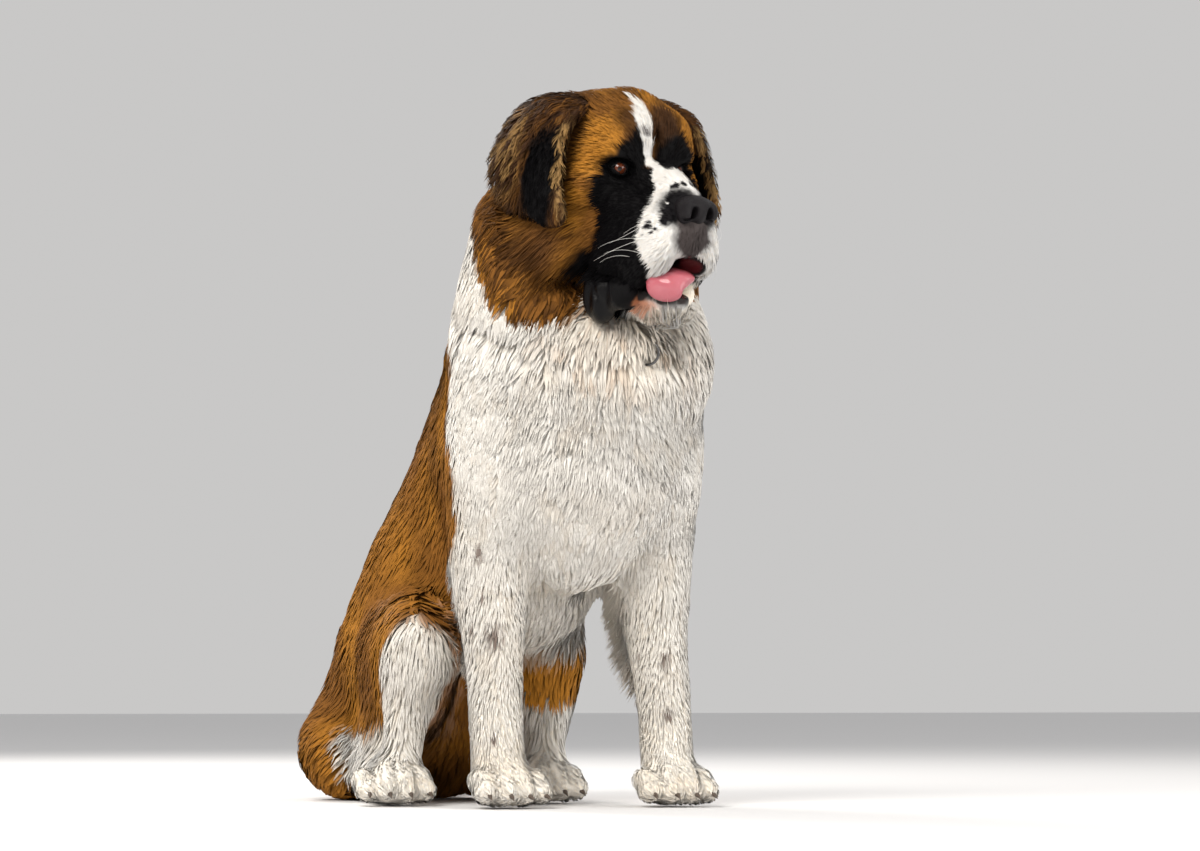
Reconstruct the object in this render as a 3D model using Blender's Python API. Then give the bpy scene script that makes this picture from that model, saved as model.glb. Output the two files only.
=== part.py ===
"""A long-haired Saint Bernard, life size and sitting, as the solids of its body parts.

Units are metres. The dog faces -Y, its left side is +X, and it sits on the floor at z = 0.
The solids reach out to the tips of the coat.
"""

import math

import bmesh
import bpy
from mathutils import Euler, Matrix, Vector

# Driving dimensions
WITHERS = 0.70  # height of the withers while sitting
SHOULDER = 0.118  # from the midline to each shoulder
STANCE = 0.125  # from the midline to each forefoot
FOREFOOT_Y = -0.140
HIP = Vector((-0.080, 0.240, 0.215))  # middle of the pelvis, which leans to the dog's right
HEAD_AT = Vector((0.032, -0.325, 0.868))  # midway between the eyes
HEAD_TURN = math.radians(17)  # towards the dog's left
HEAD_NOD = math.radians(13)
HEAD_TILT = math.radians(-2)
EYE_APART = 0.047  # from the midline to each eye
EYE_RADIUS = 0.0125
CLAW_LENGTH = 0.020
CLAW_HEIGHT = 0.0195  # of a claw's root above the floor
GAP = 0.0003  # between solids that touch

# The hind legs, folded under the body. A foot's place is the middle of its pads, and its turn is in degrees
RIGHT_KNEE = Vector((-0.186, 0.022, 0.215))
RIGHT_HOCK = Vector((-0.196, 0.220, 0.052))
RIGHT_FOOT = Vector((-0.226, 0.000, 0))
RIGHT_FOOT_TURN = -12
LEFT_KNEE = Vector((0.034, 0.080, 0.215))
LEFT_HOCK = Vector((0.052, 0.245, 0.052))
LEFT_FOOT = Vector((0.010, 0.035, 0))
LEFT_FOOT_TURN = -9
FOREFOOT_TURN = -4  # on the left, and mirrored on the right

# Where the body is parted
HEAD_PLANE_AT = Vector((0, -0.200, 0.815))
HEAD_PLANE_TILT_DEG = -34
PAW_TOP = 0.086  # between the paws and the legs
PAW_BACK = -0.072  # behind the forefeet
ELBOW_TOP = 0.370
ELBOW_BACK = -0.010  # behind the forelegs

# The collar, which lies where the neck is parted from the trunk, and its ring
COLLAR_AT = Vector((0.030, -0.155, 0.688))
COLLAR_TILT_DEG = -62  # of the neck, from level
COLLAR_RADII = (0.125, 0.137)  # sideways, and from back to front
COLLAR_THICK = 0.005
COLLAR_TALL = 0.018
RING_RADIUS = 0.0165
RING_WIRE = 0.0019
RING_OUTWARD = 0.004  # of the ring's middle from the band's
RING_ANGLE = math.radians(7)  # round the neck from the front, to the dog's left
RING_TURN = math.radians(40)  # from square across the band
RING_ROOM = 0.0035  # in the coat around the ring

# Mesh densities: the voxels that fuse overlapping pieces, and the triangles left of each fused shape
BODY_VOXEL = 0.0085
HEAD_VOXEL = 0.0048
FINE_VOXEL = 0.0024
SPHERE_STEPS = 3
BODY_FACES = 2100
HEAD_FACES = 1100
JAW_FACES = 260
EAR_FACES = 230
NOSE_FACES = 190
TONGUE_FACES = 190
MOUTH_FACES = 130
OPENING_FACES = 100

HEAD_PLACE = (
    Matrix.Translation(HEAD_AT)
    @ Matrix.Rotation(HEAD_TURN, 4, "Z")
    @ Matrix.Rotation(HEAD_NOD, 4, "X")
    @ Matrix.Rotation(HEAD_TILT, 4, "Y")
)
COLLAR_PLACE = Matrix.Translation(COLLAR_AT) @ Matrix.Rotation(math.radians(COLLAR_TILT_DEG), 4, "X")
SIDES = {"left": 1, "right": -1}

# Coat colours, as linear red, green and blue
WHITE_COAT = (0.78, 0.74, 0.68)
BROWN_COAT = (0.26, 0.105, 0.028)
BLACK_COAT = (0.018, 0.015, 0.015)
NOSE_LEATHER = (0.020, 0.017, 0.019)
TONGUE_PINK = (0.66, 0.20, 0.23)
EYE_BROWN = (0.065, 0.020, 0.008)
CLAW_HORN = (0.075, 0.058, 0.045)
COLLAR_LEATHER = (0.045, 0.026, 0.015)
RING_STEEL = (0.60, 0.60, 0.62)


def clear_scene():
    for obj in list(bpy.data.objects):
        bpy.data.objects.remove(obj, do_unlink=True)


def material(name, colour, roughness, metallic=0.0):
    made = bpy.data.materials.new(name)
    made.use_nodes = True
    shader = made.node_tree.nodes["Principled BSDF"]
    shader.inputs["Base Color"].default_value = (*colour, 1)
    shader.inputs["Roughness"].default_value = roughness
    shader.inputs["Metallic"].default_value = metallic
    return made


def mirrored(place, side):
    """A place given for the dog's left, on the side asked for."""
    return (place[0] * side, place[1], place[2])


def ellipsoid(shape, centre, radii, turn=(0, 0, 0)):
    """Adds an ellipsoid to a bmesh. turn is in degrees about X, Y and Z."""
    matrix = (
        Matrix.Translation(centre)
        @ Euler([math.radians(angle) for angle in turn]).to_matrix().to_4x4()
        @ Matrix.Diagonal((*radii, 1))
    )
    bmesh.ops.create_icosphere(shape, subdivisions=SPHERE_STEPS, radius=1, matrix=matrix)


def smooth_point(stations, t):
    """Station values at t, from 0 to the number of stations less one, on a curve through them all."""
    last = len(stations) - 1
    i = min(int(t), last - 1)
    before, here = stations[max(i - 1, 0)], stations[i]
    after, beyond = stations[i + 1], stations[min(i + 2, last)]
    f = t - i
    return [
        0.5 * (2 * b + (c - a) * f + (2 * a - 5 * b + 4 * c - d) * f**2 + (3 * b - a - 3 * c + d) * f**3)
        for a, b, c, d in zip(before, here, after, beyond)
    ]


def limb(shape, *stations, steps=7):
    """Adds ellipsoids along a smooth line through stations, each (x, y, z, radius x, radius y, radius z)."""
    count = (len(stations) - 1) * steps
    for n in range(count + 1):
        x, y, z, *radii = smooth_point(stations, n / steps)
        ellipsoid(shape, (x, y, z), radii)


def baked(obj):
    """The object's mesh with its modifiers applied."""
    graph = bpy.context.evaluated_depsgraph_get()
    graph.update()
    return bpy.data.meshes.new_from_object(obj.evaluated_get(graph))


def add_object(name, mesh, look=None):
    """A new object, shaded smooth if it has a look, as only the parts of the dog have."""
    obj = bpy.data.objects.new(name, mesh)
    bpy.context.scene.collection.objects.link(obj)
    if look:
        mesh.materials.clear()
        mesh.materials.append(look)
        mesh.shade_smooth()
    return obj


def mesh_of(shape, name):
    """A mesh made from a bmesh, which is then freed."""
    mesh = bpy.data.meshes.new(name)
    shape.to_mesh(mesh)
    shape.free()
    return mesh


def fused(shape, voxel, smoothing, faces):
    """One closed mesh of a bmesh's overlapping pieces, with softened joins and about this many triangles."""
    obj = add_object("rough", mesh_of(shape, "rough"))
    remesh = obj.modifiers.new("fuse", "REMESH")
    remesh.mode = "VOXEL"
    remesh.voxel_size = voxel
    soften = obj.modifiers.new("soften", "SMOOTH")
    soften.factor = 0.5
    soften.iterations = smoothing
    obj.modifiers.new("triangles", "TRIANGULATE")
    fine = baked(obj)
    obj.modifiers.clear()
    obj.data = fine
    if faces < len(fine.polygons):
        fewer = obj.modifiers.new("fewer", "DECIMATE")
        fewer.ratio = faces / len(fine.polygons)
        obj.data = baked(obj)
    mesh = obj.data
    bpy.data.objects.remove(obj)
    return mesh


def helper(name, mesh):
    """A cutter, which isn't part of the dog."""
    obj = add_object(name, mesh)
    obj.hide_render = True
    obj.display_type = "WIRE"
    return obj


def grown(name, mesh, by=GAP):
    """A cutter that is a mesh swollen a little, to leave a gap."""
    obj = helper(name, mesh.copy())
    swell = obj.modifiers.new("swell", "DISPLACE")
    swell.strength = by
    swell.mid_level = 0
    return obj


def boolean(obj, operation, other):
    modifier = obj.modifiers.new(f"{operation.lower()} {other.name}", "BOOLEAN")
    modifier.operation = operation
    modifier.object = other
    return obj


def largest_piece(obj):
    """Applies the object's modifiers and drops the crumbs that its cuts leave."""
    mesh = baked(obj)
    obj.modifiers.clear()
    shape = bmesh.new()
    shape.from_mesh(mesh)
    left = set(shape.verts)
    pieces = []
    while left:
        piece = set()
        front = {left.pop()}
        while front:
            piece |= front
            front = {edge.other_vert(vert) for vert in front for edge in vert.link_edges} - piece
        left -= piece
        pieces.append(piece)
    pieces.sort(key=len)
    for piece in pieces[:-1]:
        bmesh.ops.delete(shape, geom=list(piece), context="VERTS")
    shape.to_mesh(mesh)
    shape.free()
    obj.data = mesh
    return obj


def keep(obj, cell):
    return boolean(obj, "INTERSECT", cell)


def cut(obj, *cutters):
    for cutter in cutters:
        boolean(obj, "DIFFERENCE", cutter)
    return obj


def block_mesh(size, place, grow=0.0):
    """A box of this size about a place, which is a matrix."""
    shape = bmesh.new()
    bmesh.ops.create_cube(shape, size=1, matrix=place @ Matrix.Diagonal((*(s + 2 * grow for s in size), 1)))
    return mesh_of(shape, "block")


class Cell:
    """A box that marks off one part of the body.

    The part keeps what is inside, and its neighbours are cut by the same box with a gap round it.
    """

    def __init__(self, name, centre, size, turn=(0, 0, 0)):
        place = Matrix.Translation(centre) @ Euler([math.radians(a) for a in turn]).to_matrix().to_4x4()
        self.inside = helper(f"cell_{name}", block_mesh(size, place))
        self.around = helper(f"cell_{name}_gap", block_mesh(size, place, 2 * GAP))


def body_shape():
    """The trunk, neck, legs and tail as overlapping ellipsoids, with enough of the head to join it."""
    shape = bmesh.new()
    trunk_shape(shape)
    neck_shape(shape)
    for side in SIDES.values():
        foreleg_shape(shape, side)
    right_hindleg_shape(shape)
    left_hindleg_shape(shape)
    tail_shape(shape)
    return shape


def trunk_shape(shape):
    ellipsoid(shape, (-0.005, 0.000, 0.490), (0.160, 0.185, 0.190))  # ribs
    ellipsoid(shape, (-0.004, -0.008, WITHERS - 0.073), (0.156, 0.135, 0.104))  # withers
    ellipsoid(shape, (0.004, -0.136, 0.515), (0.146, 0.118, 0.180))  # chest
    ellipsoid(shape, (0.000, -0.108, 0.402), (0.098, 0.096, 0.105))  # breastbone
    for side in SIDES.values():
        ellipsoid(shape, (SHOULDER * side, -0.105, 0.500), (0.070, 0.100, 0.165))  # shoulder
    limb(  # back and loin, down to the pelvis
        shape,
        (-0.010, 0.036, 0.565, 0.148, 0.138, 0.135),
        (-0.036, 0.115, 0.435, 0.146, 0.138, 0.140),
        (-0.070, 0.195, 0.315, 0.151, 0.140, 0.135),
        (HIP.x - 0.006, HIP.y + 0.022, HIP.z - 0.010, 0.156, 0.168, 0.145),
        (HIP.x - 0.014, HIP.y + 0.074, 0.120, 0.158, 0.138, 0.125),
    )
    ellipsoid(shape, (-0.025, 0.040, 0.330), (0.105, 0.130, 0.115))  # belly


def neck_shape(shape):
    limb(
        shape,
        (0.000, -0.095, 0.620, 0.182, 0.158, 0.120),
        (0.000, -0.120, 0.725, 0.174, 0.145, 0.105),
        (0.000, -0.155, 0.800, 0.156, 0.135, 0.098),
        (0.008, -0.215, 0.862, 0.112, 0.110, 0.088),
    )
    ellipsoid(shape, (0.034, -0.170, 0.628), (0.146, 0.118, 0.135))  # throat ruff


def foreleg_shape(shape, side):
    limb(
        shape,
        (0.118 * side, -0.095, 0.430, 0.066, 0.085, 0.080),
        (0.122 * side, -0.090, 0.340, 0.058, 0.075, 0.070),
        (0.122 * side, -0.112, 0.240, 0.045, 0.058, 0.060),
        (STANCE * side, FOREFOOT_Y + 0.006, 0.140, 0.040, 0.048, 0.050),
        (STANCE * side, FOREFOOT_Y, 0.070, 0.041, 0.045, 0.045),
    )
    limb(  # fringe behind the forearm
        shape,
        (0.110 * side, -0.020, 0.325, 0.028, 0.060, 0.055),
        (0.110 * side, -0.036, 0.240, 0.020, 0.062, 0.055),
        (0.118 * side, -0.080, 0.145, 0.015, 0.038, 0.045),
    )
    paw_shape(shape, forefoot_place(side), FOREFOOT_TURN * side)


def forefoot_place(side):
    """The middle of a forepaw's pads."""
    return Vector((STANCE * side, FOREFOOT_Y - 0.030, 0))


def toe_places(middle, turn_deg):
    """Where the four toes of a paw are, and which way each points, from the middle of the paw's pads."""
    for n in range(4):
        across = (n - 1.5) / 1.5  # from -1, the outer toe on one side, to 1
        angle = math.radians(turn_deg) + across * 0.20
        ahead = 0.034 if abs(across) < 0.5 else 0.024
        local = Vector((across * 0.036, -ahead, 0))
        local.rotate(Euler((0, 0, math.radians(turn_deg))))
        yield middle + local, angle


def paw_shape(shape, middle, turn_deg):
    ellipsoid(shape, middle + Vector((0, 0.004, 0.034)), (0.050, 0.056, 0.038), (0, 0, turn_deg))
    for place, angle in toe_places(middle, turn_deg):
        centre = (place.x, place.y, 0.024)
        ellipsoid(shape, centre, (0.0165, 0.033, 0.0265), (-10, 0, math.degrees(angle)))


def hindleg_shape(shape, thigh, knee, hock, foot, turn_deg, width):
    """Thigh, shin and the long foot of a sitting dog, which lies on the floor from hock to toes."""
    limb(
        shape,
        (*thigh, width, 0.120, 0.130),
        (*thigh.lerp(knee, 0.55), width * 0.92, 0.100, 0.112),
        (*knee, width * 0.76, 0.060, 0.072),
    )
    limb(
        shape,
        (*knee, 0.050, 0.056, 0.066),
        (*knee.lerp(hock, 0.5), 0.046, 0.062, 0.062),
        (*hock, 0.040, 0.046, 0.050),
    )
    front = foot + Vector((0, 0.028, 0.036))
    limb(
        shape,
        (hock.x, hock.y, 0.042, 0.040, 0.046, 0.046),
        (*Vector((hock.x, hock.y, 0.038)).lerp(front, 0.5), 0.038, 0.045, 0.042),
        (*front, 0.040, 0.042, 0.038),
    )
    ellipsoid(shape, knee.lerp(front, 0.55), (0.034, 0.036, 0.080))  # fringe below the knee
    paw_shape(shape, foot, turn_deg)


def right_hindleg_shape(shape):
    thigh = HIP + Vector((-0.085, -0.055, -0.020))
    hindleg_shape(shape, thigh, RIGHT_KNEE, RIGHT_HOCK, RIGHT_FOOT, RIGHT_FOOT_TURN, 0.074)
    ellipsoid(shape, (-0.192, 0.305, 0.074), (0.094, 0.112, 0.078))  # fringe on the floor


def left_hindleg_shape(shape):
    thigh = HIP + Vector((0.085, -0.035, -0.020))
    hindleg_shape(shape, thigh, LEFT_KNEE, LEFT_HOCK, LEFT_FOOT, LEFT_FOOT_TURN, 0.066)
    ellipsoid(shape, (0.022, 0.300, 0.062), (0.072, 0.100, 0.066))  # fringe on the floor


TAIL = (
    (-0.088, 0.370, 0.085, 0.070, 0.075, 0.080),
    (-0.080, 0.455, 0.058, 0.058, 0.065, 0.062),
    (-0.045, 0.540, 0.050, 0.062, 0.066, 0.054),
    (0.020, 0.612, 0.050, 0.068, 0.066, 0.052),
    (0.105, 0.655, 0.046, 0.066, 0.056, 0.047),
    (0.190, 0.660, 0.036, 0.040, 0.034, 0.032),
    (0.232, 0.652, 0.024, 0.014, 0.012, 0.012),
)


def tail_shape(shape):
    limb(shape, *TAIL)


def head_shape():
    """The skull, cheeks and upper muzzle, in the head's own frame, whose origin is midway between the eyes."""
    shape = bmesh.new()
    ellipsoid(shape, (0, 0.160, -0.060), (0.126, 0.090, 0.110))  # nape
    ellipsoid(shape, (0, 0.060, 0.048), (0.054, 0.074, 0.062))  # middle of the forehead
    ellipsoid(shape, (0, -0.020, -0.012), (0.042, 0.040, 0.030))  # root of the muzzle
    for side in SIDES.values():
        ellipsoid(shape, mirrored((0.024, 0.082, 0.016), side), (0.080, 0.104, 0.089))  # skull
        ellipsoid(shape, mirrored((0.032, 0.028, 0.044), side), (0.044, 0.046, 0.042))  # forehead
        brow = mirrored((0.042, 0.014, 0.026), side)
        ellipsoid(shape, brow, (0.031, 0.029, 0.020), (0, 14 * side, 0))
        ellipsoid(shape, mirrored((0.062, 0.050, -0.030), side), (0.048, 0.062, 0.050))  # cheekbone
        ellipsoid(shape, mirrored((0.042, 0.000, -0.050), side), (0.036, 0.052, 0.036))  # below the eye
        ellipsoid(shape, mirrored((0.062, 0.078, -0.090), side), (0.056, 0.070, 0.076))  # cheek
        ellipsoid(shape, mirrored((0.088, 0.135, -0.105), side), (0.052, 0.070, 0.100))  # cheek ruff
        ellipsoid(shape, mirrored((0.104, 0.160, -0.055), side), (0.044, 0.055, 0.062))  # ruff behind the ear
        ellipsoid(shape, mirrored((0.029, -0.073, -0.086), side), (0.030, 0.039, 0.051))  # lip pad
        ellipsoid(shape, mirrored((0.038, -0.041, -0.099), side), (0.032, 0.051, 0.064))  # hanging lip
        ellipsoid(shape, mirrored((0.050, 0.008, -0.094), side), (0.032, 0.048, 0.060))  # lip corner
    limb(  # bridge of the muzzle
        shape,
        (0, 0.010, -0.010, 0.044, 0.034, 0.030),
        (0, -0.050, -0.026, 0.038, 0.036, 0.026),
        (0, -0.088, -0.038, 0.033, 0.028, 0.026),
    )
    ellipsoid(shape, (0, -0.050, -0.070), (0.056, 0.060, 0.048))  # muzzle
    ellipsoid(shape, (0, -0.090, -0.078), (0.031, 0.034, 0.044))  # below the nose
    return shape


def jaw_shape():
    shape = bmesh.new()
    limb(
        shape,
        (0, -0.080, -0.171, 0.035, 0.032, 0.022),
        (0, -0.036, -0.173, 0.044, 0.040, 0.025),
        (0, 0.022, -0.160, 0.054, 0.050, 0.032),
        (0, 0.075, -0.145, 0.060, 0.050, 0.040),
    )
    for side in SIDES.values():
        lip = mirrored((0.052, 0.010, -0.178), side)
        ellipsoid(shape, lip, (0.025, 0.042, 0.038), (0, 8 * side, 0))  # lower lip, folded out at its corner
    return shape


def mouth_shape():
    """The room between the lips and over the tongue."""
    shape = bmesh.new()
    limb(
        shape,
        (0, 0.015, -0.138, 0.036, 0.030, 0.012),
        (0, -0.050, -0.138, 0.038, 0.040, 0.020),
        (0.004, -0.124, -0.132, 0.034, 0.034, 0.030),
    )
    return shape


def tongue_shape():
    shape = bmesh.new()
    limb(
        shape,
        (0.000, 0.015, -0.140, 0.026, 0.020, 0.0085),
        (0.000, -0.040, -0.136, 0.028, 0.025, 0.0100),
        (-0.002, -0.092, -0.132, 0.029, 0.022, 0.0110),
        (-0.006, -0.119, -0.150, 0.024, 0.012, 0.0150),
    )
    return shape


def nose_shape():
    shape = bmesh.new()
    ellipsoid(shape, (0, -0.106, -0.037), (0.026, 0.022, 0.015))
    ellipsoid(shape, (0, -0.112, -0.052), (0.009, 0.012, 0.012))
    for side in SIDES.values():
        ellipsoid(shape, mirrored((0.0175, -0.110, -0.043), side), (0.0125, 0.0165, 0.0135))
    return shape


def nostrils_shape():
    shape = bmesh.new()
    for side in SIDES.values():
        opening = mirrored((0.0115, -0.128, -0.045), side)
        slit = mirrored((0.0230, -0.122, -0.047), side)
        ellipsoid(shape, opening, (0.0050, 0.0095, 0.0062), (0, 25 * side, 0))
        ellipsoid(shape, slit, (0.0075, 0.0065, 0.0022), (0, 15 * side, 0))
    return shape


def ear_shape(side):
    """A hanging ear, from its root on top of the skull to its tip beside the cheek."""
    shape = bmesh.new()
    stations = (
        (0.076, 0.096, 0.080, 0.022, 0.050, 0.014),
        (0.106, 0.100, 0.066, 0.020, 0.062, 0.020),
        (0.126, 0.110, 0.030, 0.016, 0.078, 0.030),
        (0.138, 0.106, -0.012, 0.014, 0.086, 0.030),
        (0.141, 0.082, -0.050, 0.012, 0.074, 0.028),
        (0.134, 0.046, -0.078, 0.010, 0.044, 0.016),
    )
    limb(shape, *[(x * side, y, z, *radii) for x, y, z, *radii in stations])
    return shape


def eye_place(side):
    return mirrored((EYE_APART, 0.0105, -0.001), side)


def eye_openings_shape():
    """The almond-shaped openings in front of the eyes."""
    shape = bmesh.new()
    for side in SIDES.values():
        x, _, z = eye_place(side)
        ellipsoid(shape, (x + 0.001 * side, -0.010, z), (0.0125, 0.0190, 0.0078), (0, 14 * side, 18 * side))
    return shape


def ball(radius, centre, subdivisions):
    shape = bmesh.new()
    bmesh.ops.create_icosphere(
        shape, subdivisions=subdivisions, radius=radius, matrix=Matrix.Translation(centre)
    )
    return mesh_of(shape, "ball")


def claw_mesh(place, angle):
    """A curved horn that grows out of the front of a toe and points at the floor."""
    shape = bmesh.new()
    bmesh.ops.create_cone(
        shape, cap_ends=True, cap_tris=True, segments=6, radius1=0.0040, radius2=0.0009, depth=CLAW_LENGTH,
        matrix=Matrix.Rotation(math.radians(90), 4, "X"),
    )
    lengthwise = [e for e in shape.edges if abs(e.verts[0].co.y - e.verts[1].co.y) > CLAW_LENGTH / 2]
    bmesh.ops.subdivide_edges(shape, edges=lengthwise, cuts=2)
    for vert in shape.verts:
        along = 0.5 - vert.co.y / CLAW_LENGTH
        vert.co.z -= 0.0065 * along**2
    matrix = Matrix.Translation((place.x, place.y, CLAW_HEIGHT)) @ Matrix.Rotation(angle, 4, "Z")
    at_the_toe = Matrix.Translation((0, -0.030, 0))
    bmesh.ops.transform(shape, matrix=matrix @ at_the_toe, verts=shape.verts)
    bmesh.ops.triangulate(shape, faces=shape.faces)
    return mesh_of(shape, "claw")


def collar_mesh(thick, tall, segments=28):
    """A flat band in the plane that parts the neck from the trunk. The plane's own axes are X and Z."""
    shape = bmesh.new()
    loops = []
    for reach, rise in ((-thick, -tall), (thick, -tall), (thick, tall), (-thick, tall)):
        ring = []
        for n in range(segments):
            angle = 2 * math.pi * n / segments
            x = (COLLAR_RADII[0] + reach / 2) * math.sin(angle)
            z = -(COLLAR_RADII[1] + reach / 2) * math.cos(angle)
            ring.append(shape.verts.new((x, -rise / 2, z)))
        loops.append(ring)
    for one, two in zip(loops, loops[1:] + loops[:1]):
        for n in range(segments):
            m = (n + 1) % segments
            shape.faces.new((one[n], one[m], two[m], two[n]))
    bmesh.ops.recalc_face_normals(shape, faces=shape.faces)
    bmesh.ops.transform(shape, matrix=COLLAR_PLACE, verts=shape.verts)
    return mesh_of(shape, "collar")


def ring_place():
    """The middle of the ring, just outside the band that runs through it, with X along its axis."""
    across = (COLLAR_RADII[0] + RING_OUTWARD) * math.sin(RING_ANGLE)
    ahead = (COLLAR_RADII[1] + RING_OUTWARD) * math.cos(RING_ANGLE)
    place = COLLAR_PLACE @ Vector((across, 0, -ahead))
    return Matrix.Translation(place) @ Matrix.Rotation(RING_TURN, 4, "Z")


def ring_mesh(segments=18, sides=6):
    """A welded steel ring: a small circle spun about X."""
    shape = bmesh.new()
    made = bmesh.ops.create_circle(
        shape, segments=sides, radius=RING_WIRE,
        matrix=Matrix.Translation((0, 0, RING_RADIUS)) @ Matrix.Rotation(math.radians(90), 4, "X"),
    )
    edges = list({edge for vert in made["verts"] for edge in vert.link_edges})
    bmesh.ops.spin(
        shape, geom=edges, cent=(0, 0, 0), axis=(1, 0, 0), angle=2 * math.pi, steps=segments, use_merge=True
    )
    bmesh.ops.recalc_face_normals(shape, faces=shape.faces)
    bmesh.ops.transform(shape, matrix=ring_place(), verts=shape.verts)
    return mesh_of(shape, "collar_ring")


def ring_slot_mesh():
    """Room for the ring in the coat."""
    shape = bmesh.new()
    radius = RING_RADIUS + RING_ROOM
    bmesh.ops.create_cone(
        shape, cap_ends=True, segments=20, radius1=radius, radius2=radius, depth=2 * RING_WIRE + 0.002,
        matrix=ring_place() @ Matrix.Rotation(math.radians(90), 4, "Y"),
    )
    return mesh_of(shape, "ring slot")


def cell_beyond(name, on_plane, tilt_deg, reach=0.30):
    """A cell for all that lies forward of a plane through a point, which leans back by an angle about X."""
    tilt = math.radians(tilt_deg)
    forward = Vector((0, -math.cos(tilt), -math.sin(tilt)))
    return Cell(name, on_plane + forward * reach, (0.7, 2 * reach, 0.9), (tilt_deg, 0, 0))


def box_cell(name, low, high):
    """A cell from its lowest to its highest corner."""
    centre = [(a + b) / 2 for a, b in zip(low, high)]
    return Cell(name, centre, [b - a for a, b in zip(low, high)])


def side_box(side, inner, outer, low, high):
    """Corners of a box from inner to outer on one side of the midline, and from low to high in Y and Z."""
    xs = sorted((inner * side, outer * side))
    return (xs[0], *low), (xs[1], *high)


def make_cells():
    """The boxes that mark off the parts of the body."""
    cells = {
        "head": cell_beyond("head", HEAD_PLANE_AT, HEAD_PLANE_TILT_DEG),
        "neck": cell_beyond("neck", COLLAR_AT, COLLAR_TILT_DEG),
    }
    for name, side in SIDES.items():
        cells[f"foreleg_{name}"] = box_cell(
            f"foreleg_{name}", *side_box(side, 0.070, 0.250, (-0.300, PAW_TOP), (ELBOW_BACK, ELBOW_TOP))
        )
        cells[f"forepaw_{name}"] = box_cell(
            f"forepaw_{name}", *side_box(side, 0.060, 0.250, (-0.300, -0.100), (PAW_BACK, PAW_TOP - 2 * GAP))
        )
    cells["hindleg_right"] = box_cell(
        "hindleg_right", (-0.330, ELBOW_BACK + 2 * GAP, PAW_TOP), (-0.130, 0.250, 0.330)
    )
    cells["hindpaw_right"] = box_cell(
        "hindpaw_right", (-0.330, PAW_BACK + 2 * GAP, -0.100), (-0.140, 0.255, PAW_TOP - 2 * GAP)
    )
    cells["hindleg_left"] = box_cell("hindleg_left", (-0.020, 0.000, PAW_TOP), (0.160, 0.270, 0.310))
    cells["hindpaw_left"] = box_cell(
        "hindpaw_left", (-0.058, -0.060, -0.100), (0.160, 0.275, PAW_TOP - 2 * GAP)
    )
    cells["tail"] = box_cell("tail", (-0.300, 0.400, -0.100), (0.400, 0.800, 0.300))
    return cells


BODY_PARTS = (
    "foreleg_left", "foreleg_right", "forepaw_left", "forepaw_right",
    "hindleg_left", "hindleg_right", "hindpaw_left", "hindpaw_right", "tail",
)


def level_floor(mesh):
    """Cuts a mesh off at the floor, which leaves small flats to rest on."""
    shape = bmesh.new()
    shape.from_mesh(mesh)
    everything = [*shape.verts, *shape.edges, *shape.faces]
    cut_edges = bmesh.ops.bisect_plane(
        shape, geom=everything, plane_co=(0, 0, 0), plane_no=(0, 0, 1), clear_inner=True
    )["geom_cut"]
    bmesh.ops.holes_fill(shape, edges=[e for e in cut_edges if isinstance(e, bmesh.types.BMEdge)], sides=0)
    bmesh.ops.triangulate(shape, faces=shape.faces)
    bmesh.ops.recalc_face_normals(shape, faces=shape.faces)
    shape.to_mesh(mesh)
    shape.free()
    return mesh


def placed(mesh):
    """A mesh of the head's frame, in the dog's frame."""
    mesh.transform(HEAD_PLACE)
    return mesh


def paw_middles():
    """Each paw's name with its middle and the way it points, in degrees."""
    for name, side in SIDES.items():
        yield f"forepaw_{name}", forefoot_place(side), FOREFOOT_TURN * side
    yield "hindpaw_right", RIGHT_FOOT, RIGHT_FOOT_TURN
    yield "hindpaw_left", LEFT_FOOT, LEFT_FOOT_TURN


def make_claws(look):
    """All the claws, and for each paw the cutters that make room for its own."""
    rooms = {}
    for paw, middle, turn_deg in paw_middles():
        rooms[paw] = []
        for n, (place, angle) in enumerate(toe_places(middle, turn_deg), 1):
            mesh = claw_mesh(place, angle)
            add_object(f"claw_{paw}_{n}", mesh, look)
            rooms[paw].append(grown(f"room_{paw}_{n}", mesh, 2 * GAP))
    return rooms


def make_body(cells, looks, claw_rooms, head_rooms):
    whole = level_floor(fused(body_shape(), BODY_VOXEL, 12, BODY_FACES))
    collar_room = helper("room_collar", collar_mesh(COLLAR_THICK + 4 * GAP, COLLAR_TALL + 4 * GAP))
    ring_room = helper("room_ring", ring_slot_mesh())
    for name in BODY_PARTS:
        part = keep(add_object(name, whole.copy(), looks["white"]), cells[name].inside)
        largest_piece(cut(part, *claw_rooms.get(name, ())))
    neck = keep(add_object("neck", whole.copy(), looks["white"]), cells["neck"].inside)
    largest_piece(cut(neck, *head_rooms, collar_room, ring_room))
    trunk = add_object("trunk", whole.copy(), looks["brown"])
    around = [cells[name].around for name in BODY_PARTS]
    largest_piece(cut(trunk, *around, cells["neck"].around, collar_room, ring_room))


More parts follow.
